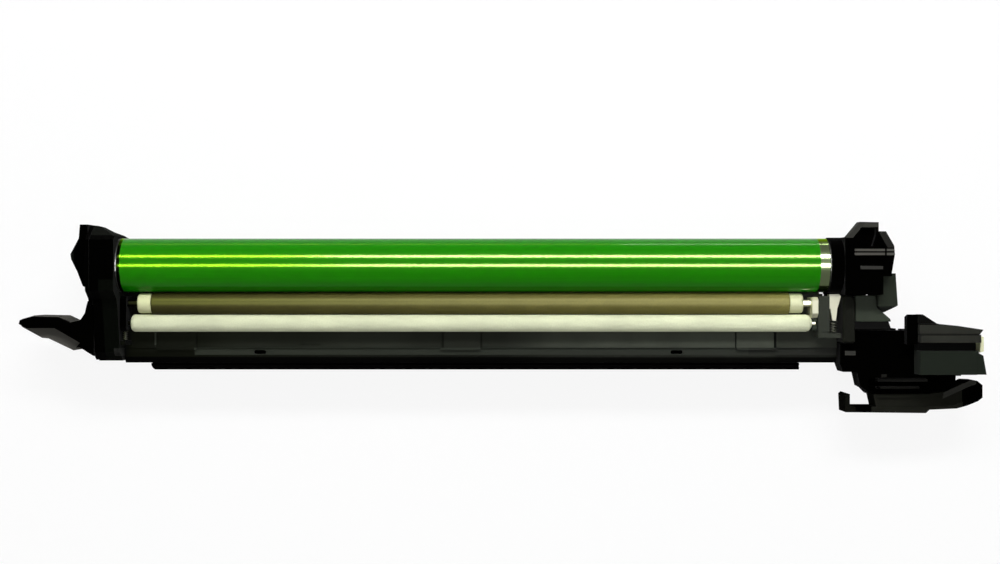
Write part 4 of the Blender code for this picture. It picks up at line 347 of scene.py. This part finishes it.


# Finishes, with patches of painted light and shade placed in the part's own coordinates
xAxis = (1.0, 0.0, 0.0)
yAxis = (0.0, 1.0, 0.0)
zAxis = (0.0, 0.0, 1.0)
finishes = {
    # Casing: painted light and shade, its colour lighter and darker along X as the light falls and darker
    # towards its lower edge, with lit strips painted lighter and thin lines painted darker and lighter
    "casing_black": mouldedPlastic(
        "grainedCasing", (0.041, 0.0458, 0.0355), 0.50, level=0.002,
        paintedLightChanges=[
            ("X", -0.20, 0.20, [
                (0.0, 0.02), (0.05, 0.08), (0.115, 0.12), (0.16, 0.26), (0.26, 0.26), (0.32, 0.40),
                (0.39, 0.38), (0.42, 0.28), (0.54, 0.30), (0.60, 0.72), (0.70, 1.04), (0.78, 0.98),
                (0.86, 1.26), (0.92, 1.10), (0.93, 0.60), (1.0, 0.75),
            ]),
            ("Y", -0.056, -0.040, [
                (0.0, 0.04), (0.20, 0.05), (0.28, 0.25), (0.40, 0.35), (0.52, 0.9), (1.0, 1.0),
            ]),
        ],
        paintedPatches=[
            ([(yAxis, -0.0505, -0.0464), (xAxis, -0.158, 0.155)], (0.0205, 0.0235, 0.0185)),
            ([(yAxis, -0.0505, -0.0464), (xAxis, 0.155, 0.30)], (0.0160, 0.0175, 0.0145)),
            ([(yAxis, -0.0464, -0.0368), (xAxis, -0.0183, -0.0170)], (0.0012, 0.0018, 0.0010)),
            ([(yAxis, -0.0464, -0.0368), (xAxis, 0.1690, 0.1706)], (0.0012, 0.0018, 0.0010)),
            ([(yAxis, -0.0464, -0.0368), (xAxis, 0.1472, 0.1480)], (0.0050, 0.0060, 0.0042)),
            ([(yAxis, -0.0464, -0.0368), (xAxis, 0.0035, 0.0046)], (0.0030, 0.0036, 0.0025)),
            ([(yAxis, -0.0464, -0.0368), (xAxis, -0.1569, -0.1560)], (0.0020, 0.0024, 0.0016)),
            ([(yAxis, -0.0450, -0.0370), (xAxis, -0.1804, -0.1792)], (0.0300, 0.0340, 0.0270)),
        ],
    ),
    "housing_black": mouldedPlastic("housingPlastic", (0.0004, 0.0004, 0.0003), 0.44, level=0.0),
    "cover_grey": mouldedPlastic("coverPlastic", (0.0260, 0.0320, 0.0230), 0.46, level=0.003),
    "flange_plastic": mouldedPlastic("flangePlastic", (0.02, 0.02, 0.02), 0.4),
    "auger_plastic": mouldedPlastic("augerPlastic", (0.05, 0.05, 0.055), 0.5),
    "ring_cream": mouldedPlastic("creamPlastic", (0.58, 0.59, 0.36), 0.42, mottle=0.05, level=0.03),
    "bearing_white": mouldedPlastic("bearingPlastic", (0.52, 0.51, 0.36), 0.42, mottle=0.05, level=0.05),
    "gear_natural": mouldedPlastic("gearPlastic", (0.62, 0.60, 0.50), 0.36, mottle=0.05),
    "lubricant_wax": mouldedPlastic("waxBlock", (0.70, 0.70, 0.64), 0.6, mottle=0.06),
    "entrance_film": mouldedPlastic("entranceSheet", (0.10, 0.10, 0.09), 0.2, mottle=0.05),
    # Shaft: its rear end painted near-black as painted shade
    "shaft_steel": drawnSteel(
        "groundShaft", (0.24, 0.23, 0.18), 0.38,
        paintedLightChanges=[("X", -0.20, 0.20, [(0.0, 0.002), (0.03, 0.004), (0.04, 0.4), (1.0, 1.0)])],
    ),
    "sheet_steel": drawnSteel("rolledSheet", (0.52, 0.52, 0.51), 0.36),
    # Springs: near-black steel as painted shade
    "spring_steel": drawnSteel("springWire", (0.008, 0.008, 0.007), 0.55),
    "screw_steel": drawnSteel("zincScrew", (0.60, 0.60, 0.56), 0.34),
    "contact_bronze": drawnSteel("springBronze", (0.66, 0.42, 0.20), 0.3),
    # Charge roller: painted shade, its colour darker towards -X
    "charge_rubber": softMaterial(
        "chargeRubber", (0.158, 0.142, 0.040), 0.42, 900.0, 0.06, 0.12, 0.040,
        paintedLightChanges=[("X", -0.18, 0.18, [(0.0, 0.16), (0.5, 0.55), (1.0, 1.0)])], tint=(1.0, 0.92, 0.45),
    ),
    # Foam: painted shade, slightly darker towards -X
    "foam_cream": softMaterial(
        "creamFoam", (0.66, 0.69, 0.48), 0.9, 1400.0, 0.35, 0.08, 0.05,
        paintedLightChanges=[("X", -0.18, 0.18, [(0.0, 0.85), (0.5, 0.9), (1.0, 1.0)])],
    ),
    "blade_urethane": softMaterial("bladeUrethane", (0.42, 0.24, 0.06), 0.3, 300.0, 0.03, 0.08, 0.5),
    "brush_fibre": softMaterial("brushPile", (0.02, 0.02, 0.024), 0.95, 1800.0, 0.6, 0.4),
    "seal_felt": softMaterial("trimFelt", (0.06, 0.06, 0.06), 0.95, 1600.0, 0.5, 0.3),
    "drum_green": drumCoating(),
}

# Mouldings with their own tones and with painted light and shade: lit facets, ridges, rib tops and highlights
# painted lighter, shaded recesses, steps and ends painted darker
black = (0.0004, 0.0004, 0.0003)
ownFinishes = {
    # Flange: its rim painted black as painted shade
    "rear_drum_flange": mouldedPlastic(
        "rearFlangePlastic", (0.62, 0.60, 0.50), 0.36, mottle=0.05,
        paintedPatches=[([(xAxis, -0.2000, -0.18)], (0.0012, 0.0012, 0.0010))],
    ),
    "guide_rail": mouldedPlastic("railPlastic", (0.0005, 0.0005, 0.0004), 0.5, level=0.0),
    "front_column": mouldedPlastic("columnPlastic", (0.0078, 0.0084, 0.0062), 0.46, level=0.001),
    # Tray: the hook and the right end painted black as painted shade, the hook's end a little lighter and a
    # slanted strip lighter as painted light
    "front_tray": mouldedPlastic(
        "trayPlastic", (0.0120, 0.0124, 0.0096), 0.46, level=0.0, dust=0.0,
        paintedPatches=[
            ([(xAxis, 0.1, 0.2252)], black),
            ([(xAxis, 0.1, 0.2162)], (0.0050, 0.0052, 0.0040)),
            ([(xAxis, 0.277, 0.4)], black),
            ([((-0.417, 0.909, 0.0), -0.1797, -0.1765), (xAxis, 0.266, 0.2845)], (0.034, 0.034, 0.030)),
        ],
    ),
    # Box: painted shade and light, the panel below the step darker, the groove black, a thin line darker and
    # the part above darker
    "front_box": mouldedPlastic(
        "boxPlastic", (0.0215, 0.0222, 0.0180), 0.46, level=0.001,
        paintedPatches=[
            ([(yAxis, -0.20, -0.0475)], (0.0110, 0.0143, 0.0103)),
            ([(yAxis, -0.0475, -0.0429)], black),
            ([(yAxis, -0.0389, -0.0380)], (0.0070, 0.0072, 0.0058)),
            ([(yAxis, -0.0331, 0.0)], (0.0022, 0.0023, 0.0018)),
        ],
    ),
    # Side block: bands painted darker and lighter as painted shade and light
    "front_side_block": mouldedPlastic(
        "sidePlastic", (0.0190, 0.0232, 0.0165), 0.46, level=0.001,
        paintedPatches=[
            ([(yAxis, -0.0415, -0.0363)], (0.0030, 0.0036, 0.0026)),
            ([(yAxis, -0.0430, -0.0415)], (0.0100, 0.0104, 0.0090)),
        ],
    ),
    # Pocket cover: the step below painted black as painted shade
    "pocket_cover": mouldedPlastic(
        "pocketPlastic", (0.0280, 0.0345, 0.0245), 0.46, level=0.003,
        paintedPatches=[([(zAxis, 0.0, 0.045)], black)],
    ),
    # Arm: a lit facet painted lighter as painted light
    "locating_arm": mouldedPlastic(
        "armPlastic", black, 0.46, level=0.0,
        paintedPatches=[([(xAxis, -0.30, -0.214), (zAxis, 0.0, 0.047)], (0.074, 0.072, 0.064))],
    ),
    # Gear cover: lit spots painted lighter as painted light
    "gear_cover": mouldedPlastic(
        "gearCoverPlastic", black, 0.44, level=0.0,
        paintedPatches=[
            ([(xAxis, -0.2134, -0.2078), (yAxis, -0.0491, -0.0466)], (0.040, 0.040, 0.036)),
            ([(xAxis, -0.2231, -0.2147), (yAxis, -0.0363, -0.0312)], (0.0035, 0.0040, 0.0034)),
            ([(xAxis, -0.2400, -0.2205), (yAxis, -0.004, 0.014)], (0.0035, 0.0040, 0.0032)),
        ],
    ),
    # Rear housing: lit facets painted lighter as painted light
    "rear_housing": mouldedPlastic(
        "rearPlastic", black, 0.44, level=0.0,
        paintedPatches=[
            ([(xAxis, -0.2060, -0.1), (yAxis, -0.08, -0.008)], (0.0020, 0.0026, 0.0018)),
            ([(xAxis, -0.2140, -0.1), (yAxis, 0.0165, 0.03)], (0.0055, 0.0062, 0.0050)),
            ([(xAxis, -0.2012, -0.1), (yAxis, -0.0509, -0.0464)], (0.0150, 0.0155, 0.0140)),
        ],
    ),
    # Bracket: rib tops and a small highlight painted lighter as painted light
    "front_bracket": mouldedPlastic(
        "bracketPlastic", black, 0.44, level=0.0,
        paintedPatches=[
            ([(yAxis, -0.0656, -0.0636), (xAxis, 0.2272, 0.2560)], (0.0150, 0.0150, 0.0135)),
            ([(yAxis, -0.0698, -0.0682), (xAxis, 0.2290, 0.2520)], (0.0070, 0.0070, 0.0062)),
            ([(yAxis, -0.0636, -0.0610), (xAxis, 0.2285, 0.2315)], (0.0120, 0.0120, 0.0105)),
            ([(yAxis, -0.0505, -0.0480), (xAxis, 0.2080, 0.2140)], (0.0350, 0.0350, 0.0310)),
        ],
    ),
    # Front housing: painted highlights along the rounded top and on lit edges, with a dark split painted
    # between the highlights
    "front_housing": mouldedPlastic(
        "frontPlastic", black, 0.44, level=0.0,
        paintedPatches=[
            ([(zAxis, 0.0626, 0.07), (yAxis, 0.004, 0.02)], (0.070, 0.068, 0.060)),
            ([(zAxis, 0.0626, 0.07), (xAxis, 0.2263, 0.2274)], (0.0060, 0.0060, 0.0050)),
            ([(zAxis, 0.0626, 0.07), (yAxis, -0.02, 0.004)], (0.032, 0.032, 0.029)),
            ([(zAxis, 0.060, 0.07), (xAxis, 0.2134, 0.2233), (yAxis, 0.0209, 0.03)], (0.040, 0.040, 0.035)),
            ([((-0.770, 0.638, 0.0), -0.1514, -0.1480), (yAxis, 0.0150, 0.03), (zAxis, 0.05, 0.07)],
             (0.034, 0.034, 0.030)),
            ([((0.867, 0.498, 0.0), 0.2026, 0.2070), (yAxis, 0.0096, 0.0190), (zAxis, 0.05, 0.07)],
             (0.0165, 0.0165, 0.0145)),
        ],
    ),
}
slotOf = {entry["node"]: entry["material_slot"] for entry in frame["record"]["subparts"]}
for name, node in nodes.items():
    node.data.materials.clear()
    node.data.materials.append(ownFinishes.get(name, finishes[slotOf[name]]))
print("finishes made:", len(finishes) + len(ownFinishes))


# Rounded edges on the mouldings that show
edgeLook = {
    "main_frame": 0.0003,
    "guide_rail": 0.0003,
    "rear_housing": 0.0006,
    "gear_cover": 0.0006,
    "locating_arm": 0.0005,
    "front_housing": 0.0006,
    "front_side_block": 0.0005,
    "front_column": 0.0003,
    "pocket_cover": 0.0005,
    "front_bracket": 0.0005,
    "front_box": 0.0005,
    "front_tray": 0.0006,
    "connector": 0.0002,
    "front_bearing_slider": 0.0002,
    "rear_bearing_slider": 0.0002,
    "front_cleaner_clip": 0.0002,
    "rear_drum_flange": 0.0001,
    "bar_holder": 0.0002,
    "blade_bracket": 0.0001,
}
bevelLook = {"merge": 0.000002, "segments": 2, "sharpAngle": 28.0}
for name, width in edgeLook.items():
    weld = nodes[name].modifiers.new("weld", "WELD")
    weld.merge_threshold = bevelLook["merge"]
    bevel = nodes[name].modifiers.new("softEdges", "BEVEL")
    bevel.width = width
    bevel.segments = bevelLook["segments"]
    bevel.limit_method = "ANGLE"
    bevel.angle_limit = math.radians(bevelLook["sharpAngle"])
    bevel.harden_normals = True
    bevel.use_clamp_overlap = True
print("edges rounded:", len(edgeLook))


# A finished mesh as a piece of the unit: the body it moves with, its slot, and the solid it stands for
def newPiece(name, mesh, body, slot, stands=None):
    data = bpy.data.meshes.new(name)
    mesh.to_mesh(data)
    mesh.free()
    piece = bpy.data.objects.new(name, data)
    piece.data.materials.append(finishes[slot])
    scene.collection.objects.link(piece)
    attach(piece, body)
    if stands:
        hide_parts(stands)
    return piece


# A profile of (x, radius) corners turned about a line along X through (y, z)
def turnedPiece(name, profile, centre, body, slot, stands, steps, closed):
    mesh = bmesh.new()
    corners = [mesh.verts.new((x, centre[0], centre[1] + radius)) for x, radius in profile]
    for first, second in zip(corners, corners[1:]):
        mesh.edges.new((first, second))
    if closed:
        mesh.edges.new((corners[-1], corners[0]))
    bmesh.ops.spin(
        mesh,
        geom=[*mesh.verts, *mesh.edges],
        cent=(0.0, *centre),
        axis=(1.0, 0.0, 0.0),
        angle=2 * math.pi,
        steps=steps,
        use_merge=True,
        use_duplicate=False,
    )
    bmesh.ops.remove_doubles(mesh, verts=mesh.verts, dist=0.000002)
    bmesh.ops.recalc_face_normals(mesh, faces=mesh.faces)
    for face in mesh.faces:
        face.smooth = True
    for edge in mesh.edges:
        edge.smooth = len(edge.link_faces) != 2 or edge.calc_face_angle(0.0) < math.radians(40)
    return newPiece(name, mesh, body, slot, stands)


drumHalf = drumLook["half"]
drumEdge = drumLook["edge"]
outer = drumLook["radius"]
inner = outer - drumLook["wall"]
turnedPiece(
    "greenDrum",
    [
        (-drumHalf, inner), (-drumHalf, outer - drumEdge), (-drumHalf + drumEdge, outer),
        (drumHalf - drumEdge, outer), (drumHalf, outer - drumEdge), (drumHalf, inner),
    ],
    (0.0, drumLook["height"]), "drum", "drum_green", "drum_tube", steps=192, closed=True,
)
print("drum turned")


# Points (x, radius) on an arc of a profile, with the angles in degrees
def arc(x, radius, size, first, last, steps):
    turns = [math.radians(first + (last - first) * i / steps) for i in range(steps + 1)]
    return [(x + size * math.cos(turn), radius + size * math.sin(turn)) for turn in turns]


# Rollers and their rings, as fine turned copies of the plain solids
def rollerCentre(name):
    low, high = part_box(name)
    return (low[1] + high[1]) / 2, (low[2] + high[2]) / 2, low[0], high[0], (high[1] - low[1]) / 2


rollerLook = {
    "chargeBore": 0.0041,
    "chargeEdge": 0.0004,
    "ringEdge": 0.0012,
    "foamBore": 0.0014,
    "foamNose": 0.0024,
    "foamEnd": 0.0016,
}
y, z, start, end, radius = rollerCentre("charge_roller")
edge = rollerLook["chargeEdge"]
bore = rollerLook["chargeBore"]
turnedPiece(
    "chargeSleeve",
    [
        (start, bore), (start, radius - edge), (start + edge, radius),
        (end - edge, radius), (end, radius - edge), (end, bore),
    ],
    (y, z), "charge", "charge_rubber", "charge_roller", steps=128, closed=True,
)
for name, nodeName, outward in (("rearRing", "rear_end_ring", -1), ("frontRing", "front_end_ring", 1)):
    y, z, start, end, radius = rollerCentre(nodeName)
    edge = rollerLook["ringEdge"]
    small = edge / 4
    width = end - start
    rounding = arc(width - edge, radius - edge, edge, 90, 0, 5)
    profile = [(0.0, bore), (0.0, radius - small), (small, radius), *rounding, (width, bore)]
    placed = [(start + u, r) if outward > 0 else (end - u, r) for u, r in profile]
    turnedPiece(name, placed, (y, z), "charge", "ring_cream", nodeName, steps=96, closed=True)
y, z, start, end, radius = rollerCentre("cleaning_roller")
bore = rollerLook["foamBore"]
nose = rollerLook["foamNose"]
taper = rollerLook["foamEnd"]
profile = [
    (start, bore), *arc(start + nose, radius - nose, nose, 180, 90, 7)[1:],
    (end - 2 * taper, radius), (end - taper, radius - taper / 3), (end, radius - 1.6 * taper), (end, bore),
]
turnedPiece("foamSleeve", profile, (y, z), "cleaner", "foam_cream", "cleaning_roller", steps=128, closed=True)
print("rollers turned")


# Springs as round wires
acrossAxes = {0: (1, 2), 1: (0, 2)}
springLook = {
    "sides": 10,
    "steps": 28,
    "front_bearing_spring": {
        "axis": 1, "wire": 0.00035, "turns": 4,
        "joint": "carriage_slide", "push": (0.0, -1.0, 0.0), "travel": 0.0005,
    },
    "rear_bearing_spring": {
        "axis": 1, "wire": 0.00025, "turns": 4,
        "joint": "carriage_slide", "push": (0.0, -1.0, 0.0), "travel": 0.0005,
    },
    "shutter_spring": {
        "axis": 0, "wire": 0.00030, "turns": 4,
        "joint": "shutter_slide", "push": (-1.0, 0.0, 0.0), "travel": 0.0050,
    },
}


# A ring of wire, wound by a spin that climbs along the spring's axis, with both ends capped
def roundSpring(nodeName, look):
    low, high = (Vector(corner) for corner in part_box(nodeName))
    along = look["axis"]
    rise, side, other = (Vector([float(k == axis) for k in range(3)]) for axis in (along, *acrossAxes[along]))
    wire = look["wire"]
    middle = (low + high) / 2
    reach = max((high - low).dot(side), (high - low).dot(other)) / 2 - wire
    length = high[along] - low[along]
    foot = middle + rise * (low[along] + wire - middle[along])
    turned = Matrix((rise, side, rise.cross(side))).transposed().to_4x4()
    steps = look["turns"] * springLook["steps"]
    mesh = bmesh.new()
    placed = Matrix.Translation(foot + side * reach) @ turned
    bmesh.ops.create_circle(mesh, segments=springLook["sides"], radius=wire, matrix=placed)
    bmesh.ops.spin(
        mesh,
        geom=[*mesh.verts, *mesh.edges],
        cent=foot,
        axis=side.cross(other),
        dvec=rise * (length - 2 * wire) / steps,
        angle=2 * math.pi * look["turns"],
        steps=steps,
        use_merge=False,
        use_duplicate=False,
    )
    for face in mesh.faces:
        face.smooth = True
    bmesh.ops.holes_fill(mesh, edges=mesh.edges, sides=springLook["sides"])
    bmesh.ops.recalc_face_normals(mesh, faces=mesh.faces)
    piece = newPiece(nodeName + "Round", mesh, "casing", "spring_steel", nodeName)
    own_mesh(piece)


for name in ("front_bearing_spring", "rear_bearing_spring", "shutter_spring"):
    roundSpring(name, springLook[name])
print("springs wound")


# Dark floors of the two keyholes in the casing's ledge
keyholeLook = {
    "places": [-0.1211, 0.1145],
    "y": -0.0490,
    "top": 0.0337,
    "size": (0.0094, 0.0046, 0.0010),
    "edge": 0.0003,
}
mesh = bmesh.new()
for place in keyholeLook["places"]:
    made = bmesh.ops.create_cube(mesh, size=1.0)
    bmesh.ops.scale(mesh, verts=made["verts"], vec=keyholeLook["size"])
    lift = keyholeLook["top"] - keyholeLook["size"][2] / 2
    bmesh.ops.translate(mesh, verts=made["verts"], vec=(place, keyholeLook["y"], lift))
bmesh.ops.bevel(
    mesh, geom=[*mesh.verts, *mesh.edges], offset=keyholeLook["edge"], offset_type="OFFSET",
    affect="EDGES", segments=2, profile=0.5, material=-1,
)
newPiece("keyholeFloors", mesh, "casing", "housing_black")
print("keyholes closed")


# Floor: white where the camera sees it, with the unit's soft shadow on it
floorLook = {
    "size": 8.0,
    "white": (0.86, 0.86, 0.86),
    "glow": 0.88,
    "below": 0.0002,
}
floorMaterial, tree, shader = newMaterial("paleFloor")
shader.inputs["Base Color"].default_value = (*floorLook["white"], 1.0)
shader.inputs["Roughness"].default_value = 0.9
shader.inputs["Specular IOR Level"].default_value = 0.0
glow = addNode(tree, "ShaderNodeEmission", Strength=1.0)
share = addNode(tree, "ShaderNodeMath", operation="MULTIPLY")
share.inputs[1].default_value = floorLook["glow"]
mixed = addNode(tree, "ShaderNodeMixShader")
tree.links.new(seenDirectly(tree), share.inputs[0])
tree.links.new(share.outputs[0], mixed.inputs["Fac"])
tree.links.new(shader.outputs["BSDF"], mixed.inputs[1])
tree.links.new(glow.outputs["Emission"], mixed.inputs[2])
tree.links.new(mixed.outputs["Shader"], tree.nodes["Material Output"].inputs["Surface"])

floorMesh = bmesh.new()
bmesh.ops.create_grid(floorMesh, x_segments=1, y_segments=1, size=floorLook["size"] / 2)
bmesh.ops.translate(floorMesh, verts=floorMesh.verts, vec=(0.0, 0.0, cadBox[0][2] - floorLook["below"]))
floorData = bpy.data.meshes.new("floor")
floorMesh.to_mesh(floorData)
floorMesh.free()
floor = bpy.data.objects.new("floor", floorData)
floor.data.materials.append(floorMaterial)
scene.collection.objects.link(floor)


# Lamps: two long softboxes, each in a bright and a dimmer length, which light the unit, and just under
# them the bright tubes that only its shiny surfaces mirror
lampLook = {
    "dimTint": (0.75, 1.0, 0.12),
    "lamps": {
        "overhead": {
            "tilt": -1.4, "reach": 1.40, "width": 0.22, "mirrored": False,
            "spans": [(-0.62, -0.24, 3.6), (-0.24, 0.60, 6.6)],
        },
        "slanted": {
            "tilt": 37.5, "reach": 1.10, "width": 0.18, "mirrored": False,
            "spans": [(-0.56, -0.21, 11.7), (-0.21, 0.54, 22.0)],
        },
        "overheadTubes": {
            "tilt": -1.0, "reach": 1.36, "width": 0.20, "mirrored": True,
            "spans": [(-0.80, -0.22, 175.0), (-0.22, 0.80, 245.0)],
        },
        "slantedTubes": {
            "tilt": 38.2, "reach": 1.06, "width": 0.15, "mirrored": True,
            "spans": [(-0.80, -0.20, 190.0), (-0.20, 0.80, 285.0)],
        },
        "tableTubes": {
            "tilt": 100.0, "reach": 0.245, "width": 0.006, "mirrored": True,
            "spans": [(-0.30, 0.10, 24.0), (0.10, 0.40, 50.0)],
        },
    },
}
target = Vector((0.0, 0.0, drumLook["height"]))
for name, look in lampLook["lamps"].items():
    turn = math.radians(look["tilt"])
    for i, (start, end, radiance) in enumerate(look["spans"]):
        light = bpy.data.lights.new(name + str(i), "AREA")
        light.shape = "RECTANGLE"
        light.size = end - start
        light.size_y = look["width"]
        light.energy = radiance * math.pi * light.size * light.size_y
        if look["mirrored"] and i == 0:
            light.color = lampLook["dimTint"]
        lamp = bpy.data.objects.new(name + str(i), light)
        lamp.location = target + Vector(
            ((start + end) / 2, look["reach"] * math.sin(turn), look["reach"] * math.cos(turn))
        )
        lamp.rotation_euler = (-turn, 0.0, 0.0)
        lamp.visible_diffuse = not look["mirrored"]
        lamp.visible_glossy = look["mirrored"]
        scene.collection.objects.link(lamp)

worldLook = {"ambient": 0.30, "background": 1.0}
world = bpy.data.worlds.new("studio")
world.use_nodes = True
scene.world = world
tree = world.node_tree
background = tree.nodes["Background"]
background.inputs["Color"].default_value = (1.0, 1.0, 1.0, 1.0)
strength = mapRange(tree, seenDirectly(tree), 0.0, 1.0, worldLook["ambient"], worldLook["background"])
tree.links.new(strength, background.inputs["Strength"])
scene.view_settings.view_transform = "Standard"
print("floor, lamps and world set")
